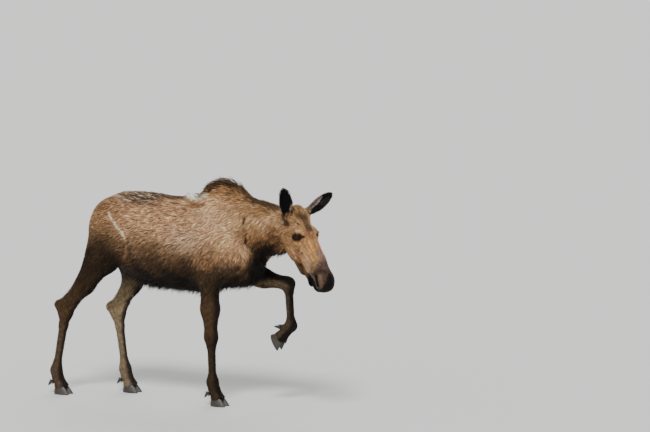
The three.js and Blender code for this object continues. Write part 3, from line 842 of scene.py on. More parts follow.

# How colour changes with height, in mm over the floor. The neck's heights are over the line of its middle.
# Partly the coat's own colour, darker below, and partly painted shade low down and painted light on top.
COAT_AND_SHADE_BY_HEIGHT = {
    "torso": [
        (880, (18, 13, 10)), (985, (40, 30, 22)), (1090, (80, 61, 44)), (1190, (114, 90, 68)),
        (1290, (146, 117, 91)), (1400, (176, 141, 111)), (1600, (158, 126, 98)),
    ],
    "hump": [(1300, (172, 139, 108)), (1480, (192, 158, 127)), (1640, (158, 122, 88))],
    "shoulders": [
        (930, (44, 34, 25)), (1070, (84, 66, 49)), (1150, (153, 120, 91)), (1240, (180, 146, 113)),
        (1380, (196, 162, 130)),
    ],
    "neck": [
        (-230, (16, 12, 8)), (-150, (38, 28, 18)), (-70, (140, 105, 74)), (20, (164, 133, 102)),
        (95, (184, 151, 117)), (170, (148, 116, 82)),
    ],
    "thighs": [
        (930, (20, 14, 9)), (1050, (27, 19, 12)), (1190, (70, 53, 37)), (1320, (120, 92, 66)),
        (1420, (142, 109, 79)), (1560, (124, 96, 70)),
    ],
}
LEG_FRONT = shade(22, 17, 13)
LEG_OUTER = shade(84, 64, 44)
LEG_INNER = {True: shade(118, 101, 80), False: shade(164, 144, 116)}  # on a foreleg, and on a hind leg
LEG_LOW = {True: shade(46, 35, 25), False: shade(92, 78, 64)}


def ripple(p, size, seed):
    """Smooth noise, mostly from -1 to 1, with waves of about the given size."""
    rng = np.random.default_rng(seed)
    total = 0
    for _ in range(5):
        way = unit(rng.normal(size=3)) * (2 * math.pi / size) * rng.uniform(0.7, 1.4)
        total = total + np.sin(p @ vec(way) + rng.uniform(0, 2 * math.pi))
    return vec(total / 2.5)


def ramp(along, stops):
    """Colours that run from stop to stop. A stop is how far along it is, and its screen colour."""
    at, colours = zip(*stops)
    channels = np.transpose([shade(*colour) for colour in colours])
    return np.stack([np.interp(along, at, channel) for channel in channels], 1)


def painted(colour, marks, p, share=1):
    """Colours with marks put on them, by the given share of their strength."""
    for mask, hue, strength in marks:
        colour = mix(colour, shade(*hue), (mask(p) * strength * share)[:, None])
    return colour


DARK_RUMP = patch((-640, -60, 1585), (200, 130, 80))  # its hair is rough too

# Marks on the body: a mask, its colour, and how strongly it covers. The first ones are on both sides.
BODY_MARKS = [
    (DARK_RUMP, (66, 49, 36), 0.85),
    (line([(-529, -30, 1592), (-411, -20, 1589), (-290, -20, 1584)], 22, 60), (70, 50, 38), 0.85),  # back
    # the breast: black hair, and painted shade under the neck
    (patch((385, -30, 1085), (105, 125, 140)), BLACK_HAIR_AND_SHADE, 0.97),  # breast
    (line([(380, 0, 1215), (585, -60, 1240), (690, -100, 1262)], 22, 62), (20, 14, 9), 0.92),  # throat
    (patch((10, -245, 1112), (70, 60, 50)), (140, 106, 76), 0.6),  # elbow
    (patch((-186, -240, 1287), (130, 90, 75), 0.9), SILVER, 0.6),  # flank behind the shoulder
]
RIGHT_MARKS = [
    (patch((-212, -25, 1600), (36, 44, 44)), WHITE_HAIR, 1.0),  # tuft behind the hump
    (line([(-187, -61, 1586), (-112, -72, 1608), (-72, -82, 1628)], 12, 30), GREY_WHITE, 0.8),
    (line([(-183, -102, 1553), (-131, -119, 1547), (-60, -140, 1574)], 10, 30), RUST, 0.85),
]
STANDING_TUFT = patch((-212, -25, 1600), (44, 50, 50))
STANDING_MANE = patch((45, 0, 1740), (70, 60, 60), 0.8)

# Marks on the head, in its frame and on both sides of it.
FACE_COLOURS = [
    (-40, (140, 112, 80)), (30, (128, 100, 70)), (130, (158, 124, 89)), (250, (164, 127, 91)),
    (400, (156, 120, 86)), (465, (130, 103, 78)), (515, (90, 71, 54)), (640, (70, 54, 43)),
]
FACE_MARKS = [
    (patch((320, 0, -232), (180, 82, 66)), (118, 97, 69), 0.85),  # jaw
    (line([(370, -69, -180), (410, -41, -212), (450, -34, -221)], 14, 38), (80, 60, 44), 0.8),  # chin
    (line([(235, -45, -5), (327, -51, -16), (414, -54, -16)], 18, 44), (172, 132, 88), 0.8),  # nose
    (line([(385, 0, 4), (430, -5, 4), (500, -5, 0)], 22, 52), (122, 100, 92), 0.7),  # bridge
    (patch((225, -20, 0), (46, 50, 34)), (126, 86, 70), 0.6),  # between the eyes
    (line([(50, -48, -14), (80, -23, 0), (92, 20, 0)], 10, 34), (66, 46, 30), 0.8),  # poll
    (line([(60, -18, 0), (124, -8, 3), (180, -15, 6)], 12, 34), (44, 29, 27), 0.9),  # forehead
    (line([(150, -100, -60), (165, -102, -38), (180, -92, -18)], 5, 17), (204, 166, 130), 0.8),  # brow
    (line([(128, -93, -88), (125, -86, -61)], 14, 36), (174, 140, 108), 0.7),  # temple
    (line([(244, -98, -165), (325, -90, -163), (400, -60, -180)], 6, 20), (176, 140, 108), 0.55),  # jaw edge
    (line([(308, -97, -143), (353, -111, -104)], 12, 36), (152, 110, 92), 0.5),  # cheek
    (patch((275, -116, -86), (22, 24, 16)), (118, 84, 56), 0.5),  # hollow of the cheek
    (line([(445, -104, -85), (478, -103, -95)], 12, 34), (166, 138, 112), 0.65),  # corner of the mouth
    (line([(520, -10, 0), (560, 0, 0), (600, 0, 0)], 40, 84), (74, 58, 48), 0.8),  # top of the muzzle
    (line([(545, -92, -72), (532, -96, -84)], 10, 26), (72, 58, 48), 0.8),  # over the nostril
    (line([(565, -70, -32), (613, -76, -48), (645, -66, -72)], 4, 30), (112, 91, 75), 0.75),  # muzzle
]
# Painted shade below the root of the near ear, where the head meets the neck, on the right side only.
NEAR_EAR_SHADE = Stroke([(-20, -75, -118), (5, -88, -109), (40, -98, -106), (66, -106, -105)], 22, 44)

# Marks that are smaller than a lock is long, so each lock changes colour along itself. The first ones are
# on the right side of the body, as it is seen from there, the others on both sides of the head.
FINE_MARKS = [
    (line([(-835, 0, 1455), (-826, 0, 1425), (-770, 0, 1365), (-718, 0, 1309), (-690, 0, 1250)], 4, 11),
     SCAR, 0.95),  # scar on the haunch
    (line([(-690, 0, 1250), (-676, 0, 1161), (-712, 0, 1100)], 4, 22), (132, 98, 74), 0.5),  # its faint end
    # painted shade along the crease between the neck and the shoulder
    (line([(270, 0, 1478), (289, 0, 1389), (305, 0, 1299)], 4, 20), (92, 68, 46), 0.35),  # shoulder
    (line([(284, 0, 1474), (280, 0, 1440)], 4, 15), (44, 29, 17), 0.9),
    (line([(306, 0, 1322), (302, 0, 1290)], 4, 15), (44, 29, 17), 0.9),
]
FINE_FACE_MARKS = [
    (patch((119, -66, -28), (10, 14, 7)), (62, 42, 20), 0.9),
    (line([(312, -92, -53), (374, -101, -65), (427, -97, -65)], 10, 26), (172, 142, 114), 0.4),
    (patch((311, -114, -92), (14, 20, 12)), (84, 52, 32), 0.8),
    (patch((342, -108, -75), (12, 20, 10)), (92, 58, 36), 0.7),
    (line(mirrored(NOSTRIL_FOLD), 4, 26), (50, 36, 27), 0.75),
    (line([(505, -101, -92), (555, -94, -80), (590, -89, -83), (633, -72, -106)], 3, 10), LIP_EDGE, 0.85),
    # painted shade in the opening of the nostril
    (line(mirrored(NOSTRIL), 7, 15), (10, 7, 6), 1.0),
    # dark lids round the eye, and painted shade under the brow
    (line([(190, -100, -98), (203, -104, -66), (218, -97, -44)], 25, 36), (20, 13, 9), 0.97),  # eye
    (line([(218, -97, -44), (232, -74, -22)], 8, 20), (36, 24, 14), 0.95),
    (line([(227, -111, -86), (248, -105, -55)], 6, 16), (66, 28, 14), 0.7),
]

# Marks in an ear, in its own axes: across it, nothing, and along it.
EAR_MARKS = {
    "ear_left": [
        (line([(-46, 0, 150), (-42, 0, 100), (-40, 0, 45)], 26, 38), (124, 110, 108), 0.9),
        (line([(20, 0, 215), (12, 0, 160)], 10, 30), (50, 44, 48), 0.8),
        (line([(-22, 0, 158), (-10, 0, 128), (-4, 0, 85), (2, 0, 35)], 3, 11), CREAM, 0.9),
        (patch((2, 0, 32), (16, 30, 16)), (206, 178, 142), 0.9),
    ],
    "ear_right": [
        (line([(41, 0, 96), (36, 0, 72), (26, 0, 48)], 3, 9), (140, 126, 108), 0.7),
    ],
}


def mane_share(p):
    """The dark hair on the hump, and along the crest of the neck, narrower there."""
    reach = np.interp(p[:, 0], (-120, 60, 260), (105, 96, 80)) + 16 * ripple(p, 60, 5)
    return ease(1, 0.5, CREST.distance(p) / reach)


# The length of the hair in mm: on each part of the body, and in each place where it differs.
HAIR_LENGTH = {"torso": 50, "hump": 52, "neck": 46, "shoulders": 44, "thighs": 38}
LEG_HAIR = (13, 35)  # low on the leg, and where it joins the body
FACE_HAIR = (19, 8)  # on the forehead, and on the muzzle
EAR_HAIR = (12, 24)  # on the back, and in the middle of the hollow
PLACE_HAIR = {"mane": 105, "rump": 82, "poll": 34, "white tuft": 46, "fringe": 68, "tail": 48}

# A lock's width in mm, and the skin in square mm that it has, by its length.
LOCK_LENGTHS = (8, 14, 30, 60, 100)
LOCK_WIDTHS = (1.7, 2.3, 3.8, 5.6, 6.6)
LOCK_AREAS = (6, 11, 34, 85, 105)

# The way the hair lies high on a part and low on it, and the heights between which it turns.
LIES = {
    "torso": ((-1, 0, -0.3), (-1, 0, -0.75), (1420, 1080)),
    "hump": ((-1, 0, -0.15), (-1, 0, -0.8), (1620, 1450)),
    "shoulders": ((-0.8, 0, -0.8), (-0.45, 0, -1), (1420, 1080)),
    "thighs": ((-1, 0, -0.5), (-0.7, 0, -1), (1250, 1000)),
}

# Where a leg's dark front begins and is full, how strongly it covers, and the heights of its lower colour.
LEG_SHADING = {"standing": ((0.25, 0.85), 0.85, (640, 420)), "raised": ((-0.1, 0.45), 0.92, (960, 880))}


class Coat:
    """What the coat is like at each of the given places on the skin. Its colour is that of the marks where
    the hair shows, which is some share of its length from the root."""

    def __init__(self, p, slope, shown_at=0.0):
        self.p = p
        self.normal = unit(slope)
        d = distances(p)[0]
        self.share = shares(d)
        self.on_head = self.share[:, PARTS.index("head")]
        self.q = in_head(p)
        self.depth = coat_depth(p, d, self.share)
        self.crest = CREST.mask(p)
        self.fringe = np.maximum(BELLY_LINE.mask(p), THROAT_LINE.mask(p))
        self.rough = DARK_RUMP(fold(p))
        self.ears = [self.on_ear(ear) for ear in ALL_EARS.values()]
        self.tail = ease(16, 6, tail(p))
        self.away = np.exp(-np.maximum(np.minimum(d["torso"], d["thighs"]), 0) / 110)
        self.nose = self.nose_share()
        self.mane = mane_share(p) * (1 - self.on_head)
        self.off_eyes = ease(23, 27, norm(fold(self.q) - mirrored(EYE_PLACE)))
        self.set_lie()
        self.set_sizes()
        self.set_colour(p + self.normal * self.depth[:, None] + self.lie * (self.length * shown_at)[:, None])

    def by_part(self, values, other):
        """A number, direction or colour for each part, mixed by how much of each part a place is."""
        return sum(self.share[:, n, None] * values.get(name, other) for n, name in enumerate(PARTS))

    def on_ear(self, ear):
        """How much each place belongs to an ear, and where on it that is."""
        q, half, out = ear.hollow(self.p)
        along = q[:, 2] / ear.length
        share = ease(14, 6, ear.shape(self.p)) * ease(-0.02, 0.12, along)
        across, inside = q[:, 0] / half, ease(-2, 2, out)
        return {"ear": ear, "place": q, "share": share, "along": along, "across": across, "inside": inside}

    def nose_share(self):
        """The black front of the nose and the upper lip: dark hair, and painted shade where it faces down.
        """
        along, side, out = self.q.T
        edge = 560 + 1.2 * np.abs(side) + 0.3 * np.maximum(0, -out) + 6 * ripple(self.q, 40, 9)
        return ease(edge - 12, edge + 14, along) * self.on_head

    def leg_way(self, leg):
        """The way down a leg."""
        total = np.zeros_like(self.p)
        reach = 25
        for a, b in zip(leg.line, leg.line[1:]):
            span = b - a
            t = np.clip((self.p - a) @ span / (span @ span), 0, 1)[:, None]
            total += unit(span) * np.exp(-norm(self.p - a - t * span) / reach)[:, None]
        return unit(total)

    def set_lie(self):
        """The way the hair lies: back and down the body, down the legs, and up the face from the nose."""
        ways = {leg.name: self.leg_way(leg) for leg in ALL_LEGS}
        for name, (high, low, heights) in LIES.items():
            ways[name] = mix(vec(high), vec(low), ease(*heights, self.p[:, 2])[:, None])
        ways["neck"] = mix(vec((-0.8, 0.1, -0.9)), vec((-1, 0.1, 0.05)), self.crest[:, None])
        sideways = np.abs(self.normal @ LEFT)[:, None]
        ways["head"] = -FACE - 0.45 * BROW * sideways
        way = unit(self.by_part({name: unit(value) for name, value in ways.items()}, vec((0, 0, -1))))
        for on in self.ears:
            spread = on["across"][:, None] * on["ear"].axes[0] * 0.35
            way = mix(way, on["ear"].along + spread, on["share"][:, None])
        way = mix(way, unit(vec(TAIL["tip"]) - vec(TAIL["root"])), self.tail[:, None])
        way = way + vec((0, 0, -0.05))
        way = unit(way - self.normal * (way * self.normal).sum(1, keepdims=True))
        calm = 1 - 0.6 * self.on_head
        turn = calm * (0.28 * ripple(self.p, 120, 1) + 0.26 * ripple(self.p, 46, 2))
        self.lie = turned(way, self.normal, turn)

    def set_sizes(self):
        """The length and the width of the locks, and how many of them there are on each square mm."""
        muzzle = ease(330, 560, self.q[:, 0])
        by_eye = patch((200, -98, -54), (60, 60, 60))(fold(self.q))
        face = (mix(*FACE_HAIR, muzzle) - 5 * by_eye)[:, None]
        length = self.by_part({**HAIR_LENGTH, "head": face}, mix(*LEG_HAIR, self.away)[:, None])[:, 0]
        length = mix(length, PLACE_HAIR["mane"], self.mane)
        length = mix(length, PLACE_HAIR["rump"], self.rough)
        length = mix(length, PLACE_HAIR["poll"], POLL_TUFT(self.p))
        length = mix(length, PLACE_HAIR["white tuft"], STANDING_TUFT(self.p))
        length = mix(length, PLACE_HAIR["fringe"], self.fringe * 0.9)
        for on in self.ears:
            length = mix(length, mix(*EAR_HAIR, on["inside"] * (1 - np.abs(on["across"]))), on["share"])
        length = mix(length, PLACE_HAIR["tail"], self.tail)
        self.length = length
        self.width = np.interp(length, LOCK_LENGTHS, LOCK_WIDTHS)
        self.density = 1 / np.interp(length, LOCK_LENGTHS, LOCK_AREAS)
        off_nostrils = ease(4, 8, Stroke(mirrored(NOSTRIL), 0, 40).distance(fold(self.q)))
        thicker = 1 + 1.2 * self.crest + 0.7 * self.fringe
        self.density *= (1 - 0.4 * self.nose) * self.off_eyes * off_nostrils * thicker

    def leg_colour(self, leg, up):
        """Dark down the front, paler inside, and another tone low down."""
        way = self.leg_way(leg)
        ahead = unit(vec((1, 0, 0)) - way * way[:, :1])
        edges, cover, low = LEG_SHADING["raised" if leg.raised else "standing"]
        front = ease(*edges, (self.normal * ahead).sum(1))[:, None]
        inner = ease(-0.1, 0.75, -leg.side * self.normal[:, 1])[:, None]
        tone = mix(LEG_OUTER, LEG_INNER[leg.fore], inner * 0.8)
        tone = mix(tone, LEG_LOW[leg.fore], ease(*low, up)[:, None] * 0.6)
        return mix(tone, LEG_FRONT, front * cover)

    def ear_colour(self, name, on):
        """A grey-brown back, darker to the tip, and the hollow painted near-black as shade, with its marks.
        """
        back = mix(shade(92, 78, 66), shade(40, 31, 24), ease(0.5, 0.95, on["along"])[:, None])
        # painted shade: the hollow painted near-black
        inside = np.broadcast_to(shade(12, 9, 10), back.shape)
        inside = painted(inside, EAR_MARKS[name], on["place"] * vec((1, 0, 1)))
        return mix(back, inside, on["inside"][:, None])

    def set_colour(self, p):
        """p is where the hair shows, on the outline of the coat."""
        q = in_head(p)
        jagged = 30 * ripple(p, 150, 3) + 14 * ripple(p, 40, 4)
        up = p[:, 2] + jagged
        neck_middle = np.interp(p[:, 0], (170, 690), (1345, 1432))
        # the colours by height hold painted shade low down and painted light on top
        parts = {name: ramp(up, COAT_AND_SHADE_BY_HEIGHT[name]) for name in ("torso", "hump", "shoulders", "thighs")}
        parts["neck"] = ramp(up - neck_middle, COAT_AND_SHADE_BY_HEIGHT["neck"])
        parts["head"] = ramp(q[:, 0] + 10 * ripple(q, 50, 10), FACE_COLOURS)
        parts.update({leg.name: self.leg_colour(leg, up) for leg in ALL_LEGS})
        colour = painted(self.by_part(parts, None), BODY_MARKS, fold(p))
        colour = mix(colour, shade(*MANE), (self.mane * 0.9)[:, None])
        colour = painted(colour, RIGHT_MARKS, p)
        colour = painted(colour, FACE_MARKS, fold(q), self.on_head)
        chin = ease(0, 8, under_lips(q)) * ease(475, 520, q[:, 0]) * self.on_head
        # the black chin, and the front of the nose, which is dark hair and painted shade
        colour = mix(colour, shade(12, 9, 7), (np.maximum(chin, self.nose) * 0.98)[:, None])
        mottle = 0.15 * ripple(q, 26, 11) + 0.12 * ripple(q, 12, 12)
        colour = colour * np.exp(mottle * self.on_head)[:, None]
        # painted shade below the near ear
        colour = mix(colour, shade(56, 44, 34), (NEAR_EAR_SHADE.mask(q) * 0.85)[:, None])
        for name, on in zip(EARS, self.ears):
            colour = mix(colour, self.ear_colour(name, on), on["share"][:, None])
        self.colour = mix(colour, shade(58, 44, 31), self.tail[:, None])


def finely_marked(colour, p):
    """Colours with the small marks put on. p is on the outline of the coat."""
    flat = p * vec((1, 0, 1))
    colour = painted(colour, FINE_MARKS, flat, ease(-60, -90, p[:, 1]))
    near = norm(p - HEAD_MIDDLE) < HEAD_REACH + 60
    colour[near] = painted(colour[near], FINE_FACE_MARKS, fold(in_head(p[near])))
    return colour


def fold(p):
    """Places on the left brought over to the right side."""
    return np.stack([p[:, 0], -np.abs(p[:, 1]), p[:, 2]], 1)


def turned(way, normal, angle):
    """Directions on the surface, turned about its normal."""
    across = np.cross(normal, way)
    return way * np.cos(angle)[:, None] + across * np.sin(angle)[:, None]


# ------------------------------------------------------------------------------------------------
# Materials
# ------------------------------------------------------------------------------------------------


def new_material(name):
    """A material, its nodes and its shader."""
    material = bpy.data.materials.new(name)
    material.use_nodes = True
    tree = material.node_tree
    shader = tree.nodes["Principled BSDF"]
    return material, tree, shader


def add_node(tree, kind, **settings):
    """A node with its properties set, and its inputs by name, with _ for a space."""
    node = tree.nodes.new(kind)
    for name, value in settings.items():
        if hasattr(node, name):
            setattr(node, name, value)
        else:
            node.inputs[name.replace("_", " ")].default_value = value
    return node


def join(tree, *links):
    """Links between nodes: from one, its output, to another, its input."""
    for source, output, target, into in links:
        tree.links.new(source.outputs[output], target.inputs[into])


def multiplied(tree, colour, amount):
    """A node whose result is one node's colour times another's grey."""
    node = add_node(tree, "ShaderNodeMix", data_type="RGBA", blend_type="MULTIPLY")
    node.inputs["Factor"].default_value = 1
    tree.links.new(colour, node.inputs["A"])
    tree.links.new(amount.outputs["Result"], node.inputs["B"])
    return node.outputs["Result"]


def tone_node(tree, low, high):
    """The middle of a noise spread from low to high."""
    return add_node(tree, "ShaderNodeMapRange", From_Min=0.3, From_Max=0.7, To_Min=low, To_Max=high)


def hair_material(name, roughness, depth):
    """Hair of the colour painted on the mesh, in fine strands along it."""
    material, tree, shader = new_material(name)
    colour = add_node(tree, "ShaderNodeAttribute", attribute_name="hair")
    strand = add_node(tree, "ShaderNodeAttribute", attribute_name="strand")
    wet = add_node(tree, "ShaderNodeAttribute", attribute_name="wet")  # from 0 to 1
    fine = add_node(tree, "ShaderNodeTexNoise", Scale=0.9, Detail=2.0)
    broad = add_node(tree, "ShaderNodeTexNoise", Scale=0.22, Detail=3.0)
    fine_tone = tone_node(tree, 0.72, 1.25)
    broad_tone = tone_node(tree, 0.8, 1.18)
    gloss = add_node(tree, "ShaderNodeMapRange", To_Min=roughness, To_Max=0.28)
    bump = add_node(tree, "ShaderNodeBump", Strength=0.6, Distance=depth)
    tinted = multiplied(tree, multiplied(tree, colour.outputs["Color"], fine_tone), broad_tone)
    tree.links.new(tinted, shader.inputs["Base Color"])
    join(
        tree,
        (strand, "Vector", fine, "Vector"),
        (strand, "Vector", broad, "Vector"),
        (fine, "Fac", fine_tone, "Value"),
        (broad, "Fac", broad_tone, "Value"),
        (wet, "Fac", gloss, "Value"),
        (gloss, "Result", shader, "Roughness"),
        (fine, "Fac", bump, "Height"),
        (bump, "Normal", shader, "Normal"),
    )
    shader.inputs["Specular IOR Level"].default_value = 0.18
    return material


def horn_material():
    """Near-black horn with a grain along the wall of the hoof."""
    material, tree, shader = new_material("horn")
    place = add_node(tree, "ShaderNodeTexCoord")
    squash = add_node(tree, "ShaderNodeMapping", Scale=(90, 90, 420))
    grain = add_node(tree, "ShaderNodeTexNoise", Scale=1.0, Detail=5.0)
    tone = add_node(tree, "ShaderNodeValToRGB")
    stops = ((0.35, (0.012, 0.010, 0.009, 1)), (0.75, (0.075, 0.062, 0.05, 1)))
    for element, (position, colour) in zip(tone.color_ramp.elements, stops):
        element.position = position
        element.color = colour
    bump = add_node(tree, "ShaderNodeBump", Strength=0.5, Distance=0.0008)
    join(
        tree,
        (place, "Object", squash, "Vector"),
        (squash, "Vector", grain, "Vector"),
        (grain, "Fac", tone, "Fac"),
        (grain, "Fac", bump, "Height"),
        (tone, "Color", shader, "Base Color"),
        (bump, "Normal", shader, "Normal"),
    )
    shader.inputs["Roughness"].default_value = 0.48
    return material


def eye_material():
    """The painted ball, flecked, under a thin wet coat."""
    material, tree, shader = new_material("eye")
    colour = add_node(tree, "ShaderNodeAttribute", attribute_name="hair")
    place = add_node(tree, "ShaderNodeTexCoord")
    fleck = add_node(tree, "ShaderNodeTexNoise", Scale=900.0, Detail=2.0)
    tone = tone_node(tree, 0.75, 1.2)
    join(tree, (place, "Object", fleck, "Vector"), (fleck, "Fac", tone, "Value"))
    tree.links.new(multiplied(tree, colour.outputs["Color"], tone), shader.inputs["Base Color"])
    finish = {"Roughness": 0.1, "Specular IOR Level": 0.1, "Coat Weight": 0.22, "Coat Roughness": 0.02}
    for name, value in finish.items():
        shader.inputs[name].default_value = value
    return material


HAIR = hair_material("hair", 0.62, 0.0006)
SKIN_HAIR = hair_material("short_hair", 0.6, 0.0009)
HORN = horn_material()
EYE_FINISH = eye_material()

# ------------------------------------------------------------------------------------------------
# Pieces
# ------------------------------------------------------------------------------------------------


def put(name, data):
    """A new object in the scene."""
    obj = bpy.data.objects.new(name, data)
    bpy.context.scene.collection.objects.link(obj)
    return obj


def set_attribute(mesh, name, kind, values):
    """One value for each vertex of the mesh."""
    field = {"FLOAT_VECTOR": "vector", "FLOAT_COLOR": "color", "FLOAT": "value"}[kind]
    layer = mesh.attributes.new(name, kind, "POINT")
    layer.data.foreach_set(field, np.ravel(vec(values)))


def opaque(colour):
    """Colours with an alpha of 1."""
    return np.concatenate([np.clip(colour, 0, 1), np.ones((len(colour), 1))], 1)


def mesh_of(name, vertices, faces):
    """A smooth mesh of triangles from arrays, with its places in the row frame."""
    corners = 3
    mesh = bpy.data.meshes.new(name)
    mesh.vertices.add(len(vertices))
    mesh.vertices.foreach_set("co", np.ravel(vec(vertices)))
    mesh.loops.add(faces.size)
    mesh.loops.foreach_set("vertex_index", np.ravel(faces).astype(np.int32))
    mesh.polygons.add(len(faces))
    mesh.polygons.foreach_set("loop_start", np.arange(len(faces), dtype=np.int32) * corners)
    mesh.polygons.foreach_set("loop_total", np.full(len(faces), corners, np.int32))
    mesh.update(calc_edges=True)
    mesh.shade_smooth()
    return mesh


def wall_faces(rings, sides):
    """The triangles between rings of vertices that follow each other."""
    faces = []
    for ring in range(rings - 1):
        for n in range(sides):
            a, b = ring * sides + n, ring * sides + (n + 1) % sides
            faces += [(a, b, b + sides), (a, b + sides, a + sides)]
    return faces


def add_piece(mesh, material):
    """An object of the mesh, with its material and the body that it rides on."""
    piece = put(mesh.name, mesh)
    mesh.materials.append(material)
    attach(piece, "root")
    return piece


# ------------------------------------------------------------------------------------------------
# The skin
# ------------------------------------------------------------------------------------------------

FLESH = ["trunk", "neck", "head", "ear_left", "ear_right", "tail"]
for leg in ALL_LEGS:
    upper = ["forearm"] if leg.fore else ["thigh", "gaskin"]
    FLESH += [f"{leg.name}_{part}" for part in (*upper, "cannon", "pastern")]


def wetness(coat):
    """How wet the hair is: the nose, the feet and round the eyes."""
    feet = ease(560, 420, coat.p[:, 2]) * 0.35
    return np.clip(coat.nose * 0.3 + feet + 0.5 * (1 - coat.off_eyes), 0, 1)


def strands_on(coat, stretch=0.86):
    """Places drawn out along the lie of the coat, so that noise in them makes strands."""
    kinds = {"head": FACE, "neck": unit((-1, 0, -1)), "shoulders": unit((-0.6, 0, -1))}
    for leg in ALL_LEGS:
        kinds[leg.name] = unit(leg.line[2] - leg.line[0])
    way = unit(coat.by_part(kinds, unit((-1, 0, -0.5))))
    along = (coat.p * way).sum(1, keepdims=True)
    return coat.p - stretch * along * way


def build_skin():
    """The skin that replaces the flesh. Gives its places, its triangles and what the coat is like there."""
    mesh = skin_mesh()
    p = read(mesh.vertices, "co", np.float32, 3)
    coat = Coat(p, slope_of(p, 1.5))
    shadow = mix(1, 0.5, ease(8, 30, coat.length))[:, None]
    colour = finely_marked(coat.colour, p + coat.normal * coat.depth[:, None])
    set_attribute(mesh, "hair", "FLOAT_COLOR", opaque(colour * shadow))
    set_attribute(mesh, "strand", "FLOAT_VECTOR", strands_on(coat))
    set_attribute(mesh, "wet", "FLOAT", wetness(coat))
    mesh.vertices.foreach_set("co", in_row(p).ravel())
    mesh.shade_smooth()
    mesh.update()
    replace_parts(add_piece(mesh, SKIN_HAIR), *FLESH)
    mesh.calc_loop_triangles()
    triangles = read(mesh.loop_triangles, "vertices", np.int32, 3)
    return p, triangles, coat


# ------------------------------------------------------------------------------------------------
# The coat: locks of hair, each a thin ridge from its root to a point
# ------------------------------------------------------------------------------------------------

rng = np.random.default_rng(2835)

# Along a lock, as shares of its length, of its rise and of its width. Its last stop is its point.
LONG = {"count": 51000, "stops": (0, 0.35, 0.72, 1), "lifts": (0, 0.55, 0.9, 1), "widths": (0.85, 1, 0.66)}
SHORT = {"count": 66000, "stops": (0, 0.5, 1), "lifts": (0, 0.8, 1), "widths": (0.9, 0.9)}
LONG_FROM = 30  # mm
ROOT_DEPTH = 1.5  # mm under the skin
SHOWN_AT = 0.6  # of a lock's length from its root, where its colour is taken


def space_order(places):
    """An order that keeps near places together, so that even steps along it are even over the skin."""
    cell_size, bits = 8, 9
    cell = np.floor((places - places.min(0)) / cell_size).astype(np.int64)
    key = np.zeros(len(places), np.int64)
    for bit in range(bits):
        for axis in range(3):
            key |= ((cell[:, axis] >> bit) & 1) << (3 * bit + axis)
    return np.argsort(key, kind="stable")


def grow(p, triangles, coat, count, wanted):
    """Places for roots on the skin, closer together where locks are small."""
    a, b, c = (p[triangles[:, n]] for n in range(3))
    area = norm(np.cross(b - a, c - a)) / 2
    weight = area * (coat.density * wanted)[triangles].mean(1)
    order = space_order(a)
    total = np.cumsum(weight[order])
    steps = (np.arange(count) + rng.random(count)) / count * total[-1]
    picked = order[np.searchsorted(total, steps)]
    s = np.sqrt(rng.random(count))[:, None]
    t = rng.random(count)[:, None]
    roots = a[picked] * (1 - s) + b[picked] * (s * (1 - t)) + c[picked] * (s * t)
    return vec(roots)


def lock_faces(rings):
    """The triangles of one lock: a cap at the root, three sides between rings, and a point."""
    last, tip = (rings - 1) * 3, rings * 3
    point_faces = [(last + n, last + (n + 1) % 3, tip) for n in range(3)]
    return np.array([(0, 2, 1), *wall_faces(rings, 3), *point_faces])


